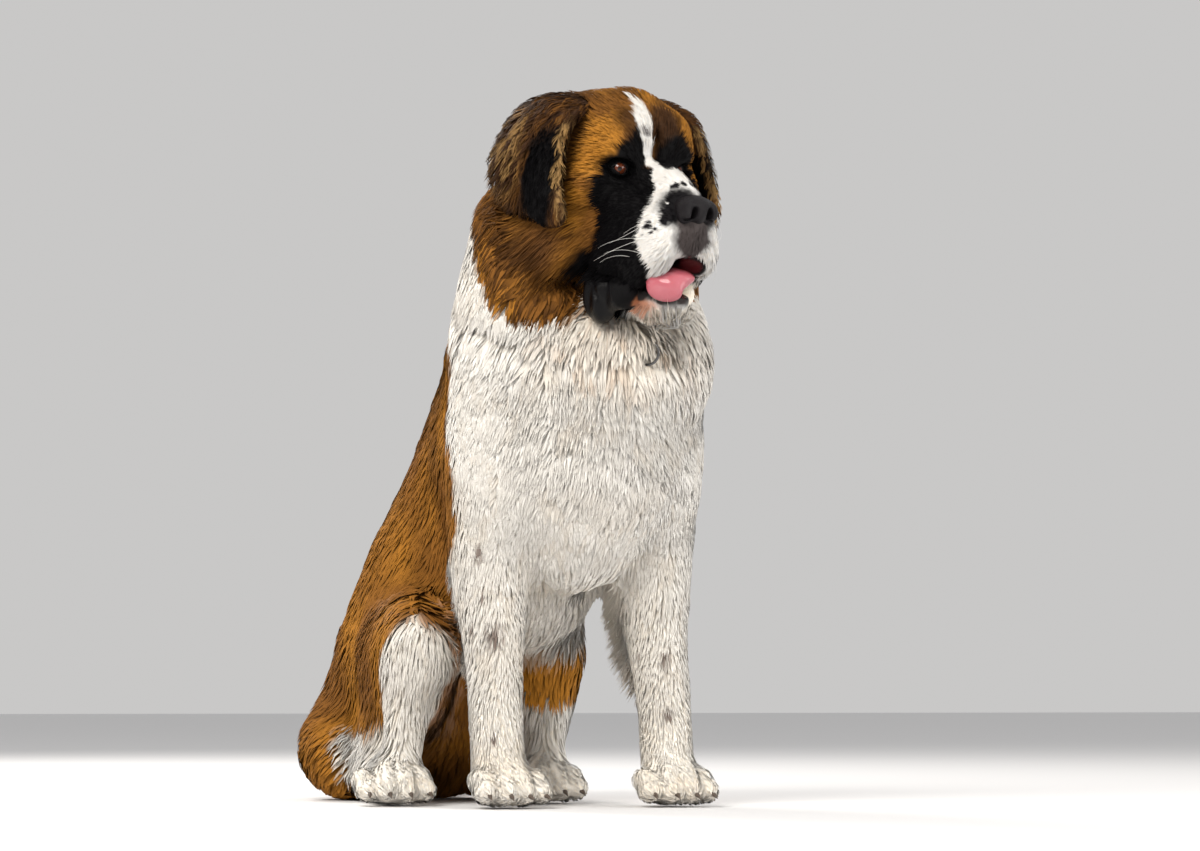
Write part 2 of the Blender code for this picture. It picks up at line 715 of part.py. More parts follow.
def make_head(cells, looks):
    """The head and all that is in it. Returns the cutters that make room for it in the neck."""
    head = placed(fused(head_shape(), HEAD_VOXEL, 9, HEAD_FACES))
    jaw = placed(fused(jaw_shape(), HEAD_VOXEL, 7, JAW_FACES))
    nose = placed(fused(nose_shape(), FINE_VOXEL, 3, NOSE_FACES))
    mouth = helper("room_mouth", placed(fused(mouth_shape(), HEAD_VOXEL, 5, MOUTH_FACES)))
    jaw_room = grown("room_jaw", jaw, 2 * GAP)
    skull = keep(add_object("head", head, looks["brown"]), cells["head"].inside)
    eye_gaps = placed(fused(eye_openings_shape(), FINE_VOXEL, 1, OPENING_FACES))
    openings = helper("room_eye_openings", eye_gaps)
    cut(skull, jaw_room, mouth, grown("room_nose", nose, 2 * GAP), openings)
    rooms = [cells["head"].around, jaw_room]
    for name, side in SIDES.items():
        eye = placed(ball(EYE_RADIUS, eye_place(side), 2))
        add_object(f"eye_{name}", eye, looks["eye"])
        cut(skull, grown(f"room_eye_{name}", eye, 2 * GAP))
        flap = placed(fused(ear_shape(side), HEAD_VOXEL, 5, EAR_FACES))
        ear = add_object(f"ear_{name}", flap, looks["black"])
        largest_piece(cut(ear, grown(f"room_head_{name}", head, 2 * GAP)))
        rooms.append(grown(f"room_ear_{name}", ear.data, 2 * GAP))
    largest_piece(skull)
    lower = keep(add_object("lower_jaw", jaw, looks["white"]), cells["head"].inside)
    cut(lower, mouth)
    nostrils = helper("room_nostrils", placed(fused(nostrils_shape(), FINE_VOXEL / 2, 1, OPENING_FACES)))
    cut(add_object("nose", nose, looks["nose"]), nostrils)
    add_object("tongue", placed(fused(tongue_shape(), HEAD_VOXEL, 3, TONGUE_FACES)), looks["tongue"])
    return rooms


def centre_on_floor():
    """Moves everything so that the origin is on the floor, below the middle of the whole dog."""
    corners = []
    for obj in bpy.data.objects:
        if not obj.hide_render:
            corners += [vert.co for vert in baked(obj).vertices]
    middle = [(min(co[axis] for co in corners) + max(co[axis] for co in corners)) / 2 for axis in (0, 1)]
    for obj in bpy.data.objects:
        obj.location = (-middle[0], -middle[1], 0)


def main():
    clear_scene()
    looks = {
        "white": material("white coat", WHITE_COAT, 0.85),
        "brown": material("brown coat", BROWN_COAT, 0.85),
        "black": material("black coat", BLACK_COAT, 0.75),
        "nose": material("nose leather", NOSE_LEATHER, 0.35),
        "tongue": material("tongue", TONGUE_PINK, 0.30),
        "eye": material("eye", EYE_BROWN, 0.05),
        "claw": material("claw horn", CLAW_HORN, 0.40),
        "collar": material("collar leather", COLLAR_LEATHER, 0.60),
        "ring": material("ring steel", RING_STEEL, 0.25, 1.0),
    }
    cells = make_cells()
    head_rooms = make_head(cells, looks)
    claw_rooms = make_claws(looks["claw"])
    make_body(cells, looks, claw_rooms, head_rooms)
    add_object("collar", collar_mesh(COLLAR_THICK, COLLAR_TALL), looks["collar"])
    add_object("collar_ring", ring_mesh(), looks["ring"])
    centre_on_floor()


main()
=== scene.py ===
"""The looks of a sitting long-haired Saint Bernard: skin, coat, eyes, nose, tongue, claws, collar and ring.

Units are metres. Shapes and markings are worked out in the dog's own frame, in which it faces -Y, its left
side is +X and the floor is z = 0. A shift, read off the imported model, leads from there to the row frame.
The head has a frame of its own: midway between the eyes is its origin, and its muzzle points along -Y.
"""

import itertools
import math

import bmesh
import bpy
import numpy as np
import openvdb
from mathutils import Matrix, Vector, kdtree


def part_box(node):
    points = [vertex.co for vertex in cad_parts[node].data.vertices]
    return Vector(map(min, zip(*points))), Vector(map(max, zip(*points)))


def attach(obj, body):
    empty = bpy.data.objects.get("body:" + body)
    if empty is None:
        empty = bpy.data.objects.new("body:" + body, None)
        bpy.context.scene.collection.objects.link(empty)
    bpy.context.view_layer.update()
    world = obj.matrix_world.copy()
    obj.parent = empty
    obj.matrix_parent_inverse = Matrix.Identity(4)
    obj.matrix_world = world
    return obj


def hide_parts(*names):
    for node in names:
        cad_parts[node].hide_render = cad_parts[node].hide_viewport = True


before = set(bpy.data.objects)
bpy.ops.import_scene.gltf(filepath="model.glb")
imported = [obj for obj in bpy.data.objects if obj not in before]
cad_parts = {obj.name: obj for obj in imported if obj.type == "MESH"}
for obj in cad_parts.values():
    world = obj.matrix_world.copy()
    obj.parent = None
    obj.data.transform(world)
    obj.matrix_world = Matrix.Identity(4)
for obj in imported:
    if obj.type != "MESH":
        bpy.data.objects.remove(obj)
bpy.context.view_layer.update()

# The head's place in the dog's frame
HEAD_AT = Vector((0.032, -0.325, 0.868))
HEAD_PLACE = (
    Matrix.Translation(HEAD_AT)
    @ Matrix.Rotation(math.radians(17), 4, "Z")
    @ Matrix.Rotation(math.radians(13), 4, "X")
    @ Matrix.Rotation(math.radians(-2), 4, "Y")
)
HEAD_AXES = np.array(HEAD_PLACE.to_3x3())
HEAD_ORIGIN = np.array(HEAD_AT)
EYE = np.array((0.047, 0.0105, -0.001))  # the left one, in the head's frame
EYE_RADIUS = 0.0125


def middle(node):
    low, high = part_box(node)
    return (low + high) / 2


SHIFT = np.array(middle("eye_left") - HEAD_PLACE @ Vector(EYE))  # from the dog's frame to the row frame

LIMBS = ("foreleg", "forepaw", "hindleg", "hindpaw")
FLESH = [
    "head", "lower_jaw", "neck", "trunk", "tail", "ear_left", "ear_right",
    *(f"{limb}_{side}" for limb in LIMBS for side in ("left", "right")),
]

VOXEL = 0.0065
CREASE = 0.006  # gaps and creases narrower than twice this are closed in the body
BAND = 0.075  # how far from the surface distances are known
NECK_JOIN = 0.018  # how softly the head runs into the neck
GROOVE_EDGE = 0.006  # how round the edges of the collar's groove are

# Coat colours as linear red, green and blue
WHITE = np.array((0.95, 0.902, 0.820))
# The face's white is painted shade: the same white coat as WHITE, made darker to hold back the strong light
# on the face's short hair.
SHADED_FACE_WHITE = np.array((0.76, 0.745, 0.720))
CREAM = np.array((0.80, 0.69, 0.55))
PEACH = np.array((0.74, 0.53, 0.37))
BROWN = np.array((0.205, 0.084, 0.018))
RUST = np.array((0.370, 0.155, 0.022))
TAN = np.array((0.42, 0.25, 0.095))
UMBER = np.array((0.045, 0.021, 0.010))
BLACK = np.array((0.0024, 0.0021, 0.0025))
GREY = np.array((0.075, 0.062, 0.060))
STAIN = np.array((0.52, 0.20, 0.095))
GUM = np.array((0.16, 0.018, 0.022))
ROSY = np.array((0.50, 0.30, 0.20))


def add(name, data):
    """A new object in the scene."""
    obj = bpy.data.objects.new(name, data)
    bpy.context.scene.collection.objects.link(obj)
    return obj


def placed(name, mesh, material):
    """A smooth object of a mesh in the dog's frame, brought to the row frame."""
    mesh.shade_smooth()
    mesh.transform(Matrix.Translation(SHIFT))
    mesh.materials.append(material)
    return add(name, mesh)


def read(items, attribute, width, kind=float):
    """An attribute of a mesh's vertices, loops or triangles, as rows of an array."""
    values = np.empty(len(items) * width, kind)
    items.foreach_get(attribute, values)
    return values.reshape(-1, width)


def unit(v):
    return v / np.maximum(np.linalg.norm(v, axis=-1, keepdims=True), 1e-9)


def smoothstep(x, low, high):
    t = np.clip((x - low) / (high - low), 0, 1)
    return t * t * (3 - 2 * t)


def mix(a, b, weight):
    return a + (b - a) * weight[..., None]


LATTICE_SIDE = 32
LATTICE = np.random.default_rng(11).random((LATTICE_SIDE,) * 3)
LATTICE = np.pad(LATTICE, (0, 1), "wrap")  # so that the last cell runs on into the first one


def sampled(values, cell, share):
    """Values of a lattice blended from the eight corners of each cell."""
    total = 0
    for corner in itertools.product((0, 1), repeat=3):
        weight = np.prod(np.where(np.array(corner), share, 1 - share), axis=-1)
        i, j, k = np.moveaxis(cell + corner, -1, 0)
        total = total + weight * values[i, j, k]
    return total


def noise(points, size, seed=0):
    """Smooth noise from -1 to 1, with lumps of about this size."""
    q = points / size + 7.31 * seed
    cell = np.floor(q).astype(int)
    return 2 * sampled(LATTICE, cell % LATTICE_SIDE, smoothstep(q - cell, 0, 1)) - 1


def ragged(p, *rows):
    """Points moved about by noise, for uneven edges. Each row is (reach, size, seed)."""
    moved = p
    for reach, size, seed in rows:
        moved = moved + reach * np.stack([noise(p, size, n + seed) for n in range(3)], -1)
    return moved


# Signed distances, below zero inside


def smooth_min(a, b, k):
    h = np.clip(0.5 + 0.5 * (b - a) / k, 0, 1)
    return b + (a - b) * h - k * h * (1 - h)


def smooth_max(a, b, k):
    return -smooth_min(-a, -b, k)


def ellipsoid(p, centre, radii, turn=None):
    """Near an ellipsoid's surface, about the distance to it. turn is in degrees about X, Y and Z."""
    q = p - np.array(centre)
    if turn is not None:
        x, y, z = (math.radians(angle) for angle in turn)
        axes = Matrix.Rotation(z, 3, "Z") @ Matrix.Rotation(y, 3, "Y") @ Matrix.Rotation(x, 3, "X")
        q = q @ np.array(axes)
    r = np.array(radii)
    k0 = np.linalg.norm(q / r, axis=-1)
    k1 = np.linalg.norm(q / r**2, axis=-1)
    return k0 * (k0 - 1) / np.maximum(k1, 1e-9)


def cone(p, a, b, ra, rb):
    """A round cone from a to b."""
    a, b = np.array(a), np.array(b)
    t = np.clip((p - a) @ (b - a) / ((b - a) @ (b - a)), 0, 1)
    return np.linalg.norm(p - a - t[..., None] * (b - a), axis=-1) - (ra + (rb - ra) * t)


def run_together(parts, k):
    """The smooth union of several shapes."""
    parts = iter(parts)
    found = next(parts)
    for part in parts:
        found = smooth_min(found, part, k)
    return found


def lumps(p, rows, k, *others):
    """The smooth union of other shapes and a table's ellipsoids, with centres and radii in millimetres."""
    return run_together([*others, *(ellipsoid(p, *metres(row[:2]), *row[2:]) for row in rows)], k)


def chain(p, *stations, k=0.004):
    """Round cones one after the other. Each station is (x, y, z, radius)."""
    links = zip(stations, stations[1:])
    return run_together((cone(p, a[:3], b[:3], a[3], b[3]) for a, b in links), k)


def to_head(p):
    return (p - HEAD_ORIGIN) @ HEAD_AXES


def from_head(q):
    return q @ HEAD_AXES.T + HEAD_ORIGIN


def metres(rows):
    """A table in millimetres, brought to metres."""
    return tuple(metres(row) if isinstance(row, tuple) else row / 1000 for row in rows)


def folded(q):
    """Points of the head's frame, with its right side laid over its left."""
    return np.concatenate([np.abs(q[..., :1]), q[..., 1:]], axis=-1)


# The head's shape at the skin: each lump's centre and radii in millimetres, on the left side or the midline,
# and its turn in degrees
SKULL_LUMPS = (
    ((0, 150, -55), (94, 68, 78)),  # nape
    ((0, 58, 46), (48, 68, 56)),  # middle of the forehead
    ((0, -18, -13), (36, 38, 27)),  # root of the muzzle
    ((24, 80, 15), (70, 95, 79)),  # skull
    ((32, 28, 43), (39, 41, 37)),  # forehead
    ((43, 13, 25), (29, 25, 16), (0, 14, 0)),  # brow
    ((62, 50, -30), (40, 54, 42)),  # cheekbone
    ((43, 2, -49), (32, 47, 32)),  # below the eye
    ((60, 72, -88), (42, 56, 60)),  # cheek
    ((72, 118, -95), (32, 42, 62)),  # behind the cheek
)
MUZZLE_LUMPS = (
    ((0, -50, -68), (52, 56, 45)),  # muzzle
    ((0, -88, -74), (29, 33, 40)),  # below the nose
    ((29, -71, -84), (28.5, 37, 49), (0, -6, 8)),  # lip pad
    ((38, -41, -98), (30, 48, 62), (0, -4, 6)),  # hanging lip
    ((48, 4, -96), (29, 46, 58), (-8, 0, 4)),  # lip corner
    ((34, -87, -100), (17.5, 22.5, 33), (0, -6, 16)),  # front of the lip
)
BRIDGE = metres(((0, 10, -12, 30), (0, -50, -26, 27), (0, -86, -38, 25)))
JAW = metres(((0, -84, -171, 21), (0, -36, -172, 26), (0, 22, -158, 34), (0, 75, -142, 44)))
POUCH_GROOVE = metres(((73, 16, -150, 3), (73, -2, -175, 4), (62, -20, -198, 3)))
PHILTRUM = metres(((0, -128, -56, 1.6), (0, -124, -80, 2), (0, -116, -104, 2.2)))
LIP_FOLD = metres(((60, -6, -45, 1), (69, -4, -80, 2), (76, 14, -120, 2)))
POUCH = (
    ((52, 12, -177), (19, 30, 38), (0, 8, 0)),
    ((46, -22, -166), (21, 34, 26)),
)
MOUTH = metres((
    (0, 20, -140, 14), (0, -50, -139, 19),
    (3, -90, -136, 25), (10, -128, -130, 30),
))
EAR = metres((  # from the root to the tip: place, and half its thickness, width and height there
    (78, 98, 76, 16, 44, 12),
    (104, 101, 62, 13, 56, 17),
    (122, 108, 28, 10, 70, 26),
    (132, 104, -12, 9, 77, 27),
    (135, 81, -48, 8, 66, 25),
    (129, 47, -74, 7, 38, 14),
))


def within(p, low, high, field, far=0.05):
    """A field worked out only inside a box, and taken as far away outside it."""
    inside = ((p > np.array(low)) & (p < np.array(high))).all(-1)
    found = np.full(p.shape[:-1], far)
    if inside.any():
        found[inside] = field(p[inside])
    return found


def skull_field(h):
    """The head without its ears and jaw, from points with both sides folded to the left."""
    found = lumps(h, SKULL_LUMPS, 0.012)
    muzzle = within(h, (-1, -0.17, -0.20), (0.12, 0.08, 0.06), muzzle_field)
    found = smooth_min(found, muzzle, 0.011)
    furrow = chain(h, (0, -0.020, 0.012, 0.004), (0, 0.010, 0.066, 0.005), (0, 0.050, 0.108, 0.003))
    return smooth_max(found, -furrow, 0.014)


def muzzle_field(h):
    muzzle = lumps(h, MUZZLE_LUMPS[:1], 0.012, chain(h, *BRIDGE, k=0.012))
    return lumps(h, MUZZLE_LUMPS[1:], 0.008, muzzle)


def eye_frame(h):
    """Points about the eye, folded to the left: outward along the slit, forward out of the eye, and up."""
    out = unit(np.array((0.93, 0.32, 0.17)))
    ahead = np.array((0.30, -0.95, 0.02))
    ahead = unit(ahead - (ahead @ out) * out)
    return (h - EYE) @ np.stack([out, ahead, -np.cross(out, ahead)], -1)


def slit(e):
    """Above zero outside the opening of the lids, which droops at its lower edge."""
    u = np.clip(np.abs(e[..., 0]) / 0.0112, 0, 1)
    top = 0.0056 * (1 - u**2) - 0.0006
    bottom = -0.0060 * (1 - u**1.7) * (1 - 0.15 * np.sign(e[..., 0])) - 0.0008
    return np.maximum(e[..., 2] - top, bottom - e[..., 2]) + 0.25 * np.maximum(np.abs(e[..., 0]) - 0.011, 0)


def lids(h, found):
    """Lays the lids over the eyes and opens them."""
    e = eye_frame(h)
    near = np.linalg.norm(e, axis=-1)
    socket = ellipsoid(e, (0, 0.012, 0.0), (0.021, 0.012, 0.015))
    found = smooth_max(found, -socket, 0.007)
    found = smooth_min(found, near - (EYE_RADIUS + 0.0020), 0.0035)
    rim = np.abs(slit(e)) - 0.0011
    rim = smooth_max(rim, near - (EYE_RADIUS + 0.0031), 0.0015)
    found = smooth_min(found, rim, 0.0012)
    # the crease above the upper lid, then the one below the lower lid
    for rise, bend, reach, soft in ((0.0098, -14.0, 0.004, 0.0016), (-0.0120, 22.0, 0.005, 0.0018)):
        crease = np.abs(e[..., 2] - rise - bend * e[..., 0] ** 2) - 0.0006
        crease = np.maximum(crease, np.abs(near - EYE_RADIUS - 0.003) - reach)
        found = smooth_max(found, -crease, soft)
    opening = np.maximum(slit(e), 0.004 - e[..., 1])
    return smooth_max(found, -opening, 0.0010)


def mouth_field(q):
    return chain(q, *MOUTH, k=0.006)


def pouch_field(h):
    return lumps(h, POUCH, 0.008)


def jaw_field(h):
    """The lower jaw, and the lower lip that folds out at its corners."""
    jaw = chain(h, *JAW, k=0.01)
    pouch = pouch_field(h)
    around = np.arctan2(h[..., 1] - 0.010, h[..., 0] - 0.030)
    pouch = pouch + 0.0020 * np.cos(around * 9 + 40 * h[..., 2]) * smoothstep(h[..., 2], -0.215, -0.190)
    pouch = smooth_max(pouch, -chain(h, *POUCH_GROOVE), 0.004)
    return smooth_min(jaw, pouch, 0.009)


def ear_field(h):
    rows = np.array(EAR)
    between = [a + (b - a) * n / 4 for a, b in zip(rows, rows[1:]) for n in range(4)]
    found = run_together((ellipsoid(h, row[:3], row[3:]) for row in between), 0.005)
    return smooth_min(found, ellipsoid(h, rows[-1, :3], rows[-1, 3:]), 0.004)


def head_field(p):
    q = to_head(p)
    h = folded(q)
    upper = skull_field(h)
    by_eye = np.linalg.norm(h - EYE, axis=-1) < 0.036
    if by_eye.any():
        upper[by_eye] = lids(h[by_eye], upper[by_eye])
    ears = within(h, (0.050, -0.030, -0.120), (0.180, 0.220, 0.130), ear_field)
    by_mouth = (q[..., 1] < 0.13) & (q[..., 2] < -0.03) & (q[..., 2] > -0.25) & (h[..., 0] < 0.13)
    if by_mouth.any():
        upper[by_mouth] = lips(q[by_mouth], h[by_mouth], upper[by_mouth])
    return smooth_min(upper, ears, 0.004)


def lips(q, h, upper):
    """Adds the lower jaw to the upper half of the head, and opens the mouth between them."""
    upper = smooth_max(upper, -chain(h, *PHILTRUM), 0.003)
    upper = smooth_max(upper, -chain(h, *LIP_FOLD), 0.007)
    jaw = jaw_field(h)
    gap = np.maximum(jaw - 0.0018, h[..., 1] - 0.055)  # the upper lip hangs over the lower one
    upper = smooth_max(upper, -gap, 0.003)
    both = smooth_min(upper, jaw, 0.016 * smoothstep(h[..., 1], 0.02, 0.06) + 1e-5)
    return smooth_max(both, -mouth_field(q), 0.005)


class Grid:
    """Distances on a regular grid, read anywhere by trilinear interpolation."""

    def __init__(self, origin, step, values):
        self.origin = np.array(origin)
        self.step = step
        self.values = values

    def points(self):
        axes = [o + self.step * np.arange(n) for o, n in zip(self.origin, self.values.shape)]
        return np.stack(np.meshgrid(*axes, indexing="ij"), axis=-1)

    def __call__(self, p):
        q = np.clip((p - self.origin) / self.step, 0, np.array(self.values.shape) - 1.001)
        cell = q.astype(int)
        return sampled(self.values, cell, q - cell)

    def slope(self, p):
        return unit(np.stack([self(p + axis) - self(p - axis) for axis in np.eye(3) * self.step], axis=-1))

    def polygons(self):
        """The points and faces of the surface at zero."""
        lattice = openvdb.FloatGrid()
        lattice.copyFromArray(self.values.astype(np.float32))
        lattice.transform = openvdb.createLinearTransform(self.step)
        points, triangles, quads = lattice.convertToPolygons(isovalue=0.0, adaptivity=0.0)
        return points + self.origin, [face[::-1].tolist() for face in itertools.chain(triangles, quads)]


def node_points(name):
    return read(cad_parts[name].data.vertices, "co", 3) - SHIFT


def joined(nodes):
    """The vertices, in the dog's frame, and triangles of several nodes."""
    points, faces, count = [], [], 0
    for name in nodes:
        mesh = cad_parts[name].data
        mesh.calc_loop_triangles()
        points.append(node_points(name))
        faces.append(read(mesh.loop_triangles, "vertices", 3, np.int32) + count)
        count += len(mesh.vertices)
    return np.concatenate(points), np.concatenate(faces)


def level_set(points, triangles=(), quads=(), band=3.0):
    """A grid of distances to a closed surface."""
    faces = {"triangles": triangles, "quads": quads}
    return openvdb.FloatGrid.createLevelSetFromPolygons(
        points.astype(np.float32), transform=openvdb.createLinearTransform(VOXEL), halfWidth=band,
        **{kind: np.asarray(found, np.uint32) for kind, found in faces.items() if len(found)},
    )


def blurred(values, passes):
    """Values smoothed along each axis."""
    for axis in (0, 1, 2) * passes:
        values = 0.25 * np.roll(values, 1, axis) + 0.5 * values + 0.25 * np.roll(values, -1, axis)
    return values


def body_grid():
    """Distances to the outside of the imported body, with the cuts between its nodes closed."""
    nodes = [n for n in FLESH if n not in ("head", "lower_jaw", "ear_left", "ear_right")]
    points, triangles = joined([*nodes, "collar", "collar_ring"])
    rough = level_set(points, triangles)
    points, triangles, quads = rough.convertToPolygons(isovalue=CREASE, adaptivity=0.0)
    wide = level_set(points, triangles, quads, band=BAND / VOXEL)
    reach = joined(FLESH)[0]
    low = np.floor(reach.min(axis=0) / VOXEL).astype(int) - 8
    high = np.ceil(reach.max(axis=0) / VOXEL).astype(int) + 8
    values = np.zeros(high - low, np.float32)
    wide.copyToArray(values, ijk=tuple(int(i) for i in low))
    return Grid(low * VOXEL, VOXEL, blurred(values, 5) + CREASE)


# The lie of the coat in millimetres: place, reach, direction, then the hair's length and the coat's depth.
# A place and a direction are given for the left side, and mirrored unless the row says otherwise.
BODY_COAT = (
    (30, -270, 660, 60, 0.10, -0.15, -1, 56, 18),  # throat
    (20, -265, 540, 65, 0.10, -0.05, -1, 58, 15),  # chest
    (110, -215, 500, 60, 0.28, 0.15, -1, 52, 12),  # side of the chest
    (20, -200, 390, 50, 0.05, 0.15, -1, 55, 14),  # breastbone
    (160, -160, 730, 70, 0.15, 0.35, -1, 60, 19),  # side of the neck
    (50, 0, 760, 75, 0.05, 0.75, -0.75, 55, 17),  # back of the neck
    (50, 80, 640, 70, 0.05, 0.55, -0.85, 46, 12),  # withers
    (165, -60, 560, 70, 0.05, 0.35, -1, 46, 11),  # behind the shoulder
    (165, -140, 470, 60, 0.08, 0.25, -1, 38, 9),  # shoulder
    (50, 220, 500, 90, 0.00, 0.50, -0.87, 42, 11),  # back
    (150, 80, 430, 80, 0.00, 0.45, -0.90, 44, 11),  # flank
    (50, 350, 300, 80, 0.00, 0.35, -0.94, 48, 12),  # loin
    (60, 420, 150, 70, 0.05, 0.30, -0.95, 60, 17),  # rump
    (40, 50, 300, 60, 0.00, 0.30, -1, 48, 12),  # belly
    (130, -170, 370, 45, 0.05, 0.05, -1, 26, 6),  # upper arm
    (125, -160, 240, 60, 0.00, 0.03, -1, 19, 6),  # forearm
    (125, -160, 110, 40, 0.00, -0.10, -1, 14, 5),  # wrist
    (125, -200, 50, 30, 0.00, -0.90, -0.45, 13, 4),  # forepaw
    (110, -30, 300, 40, 0.00, 0.75, -0.80, 55, 16),  # fringe of the forearm
    (115, -65, 170, 32, 0.00, 0.60, -0.90, 38, 10),  # fringe above the wrist
)
HIND_COAT = (
    (-230, 160, 230, 75, -0.05, 0.45, -0.90, 55, 16),  # right thigh
    (-200, 0, 200, 45, -0.03, -0.05, -1, 34, 9),  # right knee
    (-210, 30, 110, 40, 0.00, 0.10, -1, 30, 7),  # right shin
    (-226, -30, 40, 35, -0.05, -0.90, -0.45, 13, 4),  # right hind foot
    (-215, 110, 40, 40, -0.10, -0.20, -0.90, 26, 6),  # right long foot
    (-200, 320, 80, 70, -0.30, 0.55, -0.65, 62, 20),  # fringe of the right thigh
    (60, 160, 200, 60, 0.15, 0.40, -0.90, 50, 14),  # left thigh
    (30, 40, 200, 40, 0.00, -0.05, -1, 30, 7),  # left knee
    (30, 60, 110, 35, 0.00, 0.10, -1, 26, 6),  # left shin
    (10, 0, 40, 35, 0.00, -0.90, -0.45, 13, 4),  # left hind foot
    (35, 140, 40, 40, 0.05, -0.20, -0.90, 26, 6),  # left long foot
    (30, 310, 70, 60, 0.25, 0.60, -0.60, 58, 17),  # fringe of the left thigh
)
HEAD_COAT = (
    (0, -55, -2, 20, 0.05, 1.0, 0.25, 5, 1.5),  # bridge
    (20, -85, -25, 15, 0.25, 1.0, 0.10, 4, 1.2),  # behind the nose
    (50, -70, -60, 20, 0.25, 0.9, -0.35, 6, 1.6),  # side of the muzzle
    (52, -60, -115, 22, 0.15, 0.7, -0.70, 7, 2.0),  # upper lip
    (65, 5, -105, 24, 0.20, 0.7, -0.75, 9, 2.8),  # corner of the lip
    (12, -120, -80, 14, 0.45, 0.1, -1.0, 3, 0.9),  # below the nose
    (10, -100, -185, 18, 0.10, 0.4, -1.0, 15, 4),  # chin
    (40, -40, -190, 22, 0.20, 0.7, -0.70, 12, 4),  # lower lip
    (55, -2, -38, 16, 0.35, 0.8, -0.45, 6, 1.8),  # below the eye
    (22, -12, 4, 12, 0.25, 0.3, 0.90, 5, 1.6),  # beside the stop
    (45, 0, 32, 14, 0.45, 0.4, 0.70, 9, 3.0),  # brow
    (10, 5, 70, 22, 0.15, 0.5, 0.85, 11, 4.0),  # forehead
    (50, 20, 70, 22, 0.45, 0.7, 0.50, 12, 4.5),  # side of the forehead
    (30, 80, 108, 35, 0.20, 1.0, 0.05, 20, 8.0),  # crown
    (40, 180, 50, 45, 0.15, 0.8, -0.60, 42, 20),  # back of the skull
    (85, 30, 20, 22, 0.50, 0.9, -0.10, 12, 5.0),  # temple
    (90, 25, -35, 22, 0.40, 0.9, -0.45, 15, 7.0),  # cheekbone
    (90, 50, -100, 28, 0.40, 0.7, -0.75, 30, 14),  # cheek
    (115, 110, -120, 35, 0.45, 0.6, -0.80, 66, 27),  # ruff of the cheek
    (110, 170, -50, 38, 0.45, 0.8, -0.55, 66, 28),  # ruff behind the ear
    (40, 50, -200, 35, 0.15, 0.3, -1.0, 40, 15),  # throat
)
EAR_COAT = (
    (95, 90, 85, 25, 0.80, 0.10, -0.60, 20, 5.0),  # root
    (130, 50, 20, 22, 0.10, -0.10, -1.0, 15, 5.0),  # front
    (140, 130, 30, 30, 0.15, 0.35, -1.0, 32, 7.5),  # back
    (140, 150, -20, 30, 0.10, 0.25, -1.0, 32, 7.5),  # lower back
    (143, 80, -20, 25, 0.05, -0.05, -1.0, 12, 3.5),  # middle
    (140, 50, -70, 25, 0.05, -0.25, -1.0, 13, 4.0),  # tip
)
TAIL = np.array(metres((
    (-88, 370, 85), (-80, 455, 58), (-45, 540, 50), (20, 612, 50),
    (105, 655, 46), (190, 660, 36), (232, 652, 24),
)))
PARTING = 0.020  # how far from the midline the two sides' hair turns apart
TAIL_HAIR = (78, 18)  # length and depth in millimetres
TAIL_TIP_HAIR = (50, 9)


def coat_rows(p, rows, mirror):
    """(direction, length, depth) blended from a table's rows, in its own frame and in metres."""
    q = folded(p) if mirror else p
    rows = np.array(rows, float)
    weights = [
        np.exp(-((q - place) ** 2).sum(-1) / (2 * reach**2)) / reach**0.5
        for *place, reach in rows[:, :4] / 1000
    ]
    total = 1e-12 + sum(weights)
    lie = sum(w[..., None] * way for w, way in zip(weights, unit(rows[:, 4:7]))) / total[..., None]
    if mirror:
        lie[..., 0] *= np.clip(p[..., 0] / PARTING, -1, 1)
    length, depth = (sum(map(np.multiply, weights, column)) / total / 1000 for column in rows[:, 7:].T)
    return lie, length, depth, total


def tail_lie(p):
    """(direction, share of the way along, distance) at the nearest place on the tail's middle line."""
    best = np.full(p.shape[:-1], 9.0)
    lie = np.zeros(p.shape)
    along = np.zeros(p.shape[:-1])
    for n, (a, b) in enumerate(zip(TAIL, TAIL[1:])):
        t = np.clip((p - a) @ (b - a) / ((b - a) @ (b - a)), 0, 1)
        away = np.linalg.norm(p - a - t[..., None] * (b - a), axis=-1)
        nearer = away < best
        best = np.where(nearer, away, best)
        lie[nearer] = unit(b - a)
        along = np.where(nearer, (n + t) / (len(TAIL) - 1), along)
    return lie, along, best


def blend_rows(first, second, weight):
    """Two (direction, length, depth) answers mixed, with this weight on the second."""
    return tuple(
        a + (b - a) * (weight[..., None] if a.ndim > weight.ndim else weight) for a, b in zip(first, second)
    )


def body_coat(p):
    lie, length, depth, total = coat_rows(p, BODY_COAT, True)
    hind_lie, hind_length, hind_depth, hind_total = coat_rows(p, HIND_COAT, False)
    weight = hind_total / (total + hind_total)
    weight = weight * smoothstep(p[..., 1], -0.085, -0.045)
    found = blend_rows((lie, length, depth), (hind_lie, hind_length, hind_depth), weight)
    way, along, _ = tail_lie(p)
    tip = smoothstep(along, 0.75, 1.0)
    hair = [TAIL_HAIR[n] + (TAIL_TIP_HAIR[n] - TAIL_HAIR[n]) * tip for n in range(2)]
    return blend_rows(found, (way, hair[0] / 1000, hair[1] / 1000), smoothstep(p[..., 1], 0.385, 0.43))


def coat_at(p):
    """(direction, length, depth) of the coat anywhere on the dog, in its frame."""
    found = body_coat(p)
    q = to_head(p)
    near = smoothstep(np.linalg.norm((q - (0, 0.05, -0.04)) / (0.15, 0.17, 0.17), axis=-1), 1.25, 0.95)
    lie, length, depth, _ = coat_rows(q, HEAD_COAT, True)
    found = blend_rows(found, (lie @ HEAD_AXES.T, length, depth), near)
    on_ear = smoothstep(ear_field(folded(q)), 0.008, 0.002)
    lie, length, depth, _ = coat_rows(q, EAR_COAT, True)
    return blend_rows(found, (lie @ HEAD_AXES.T, length, depth), on_ear)


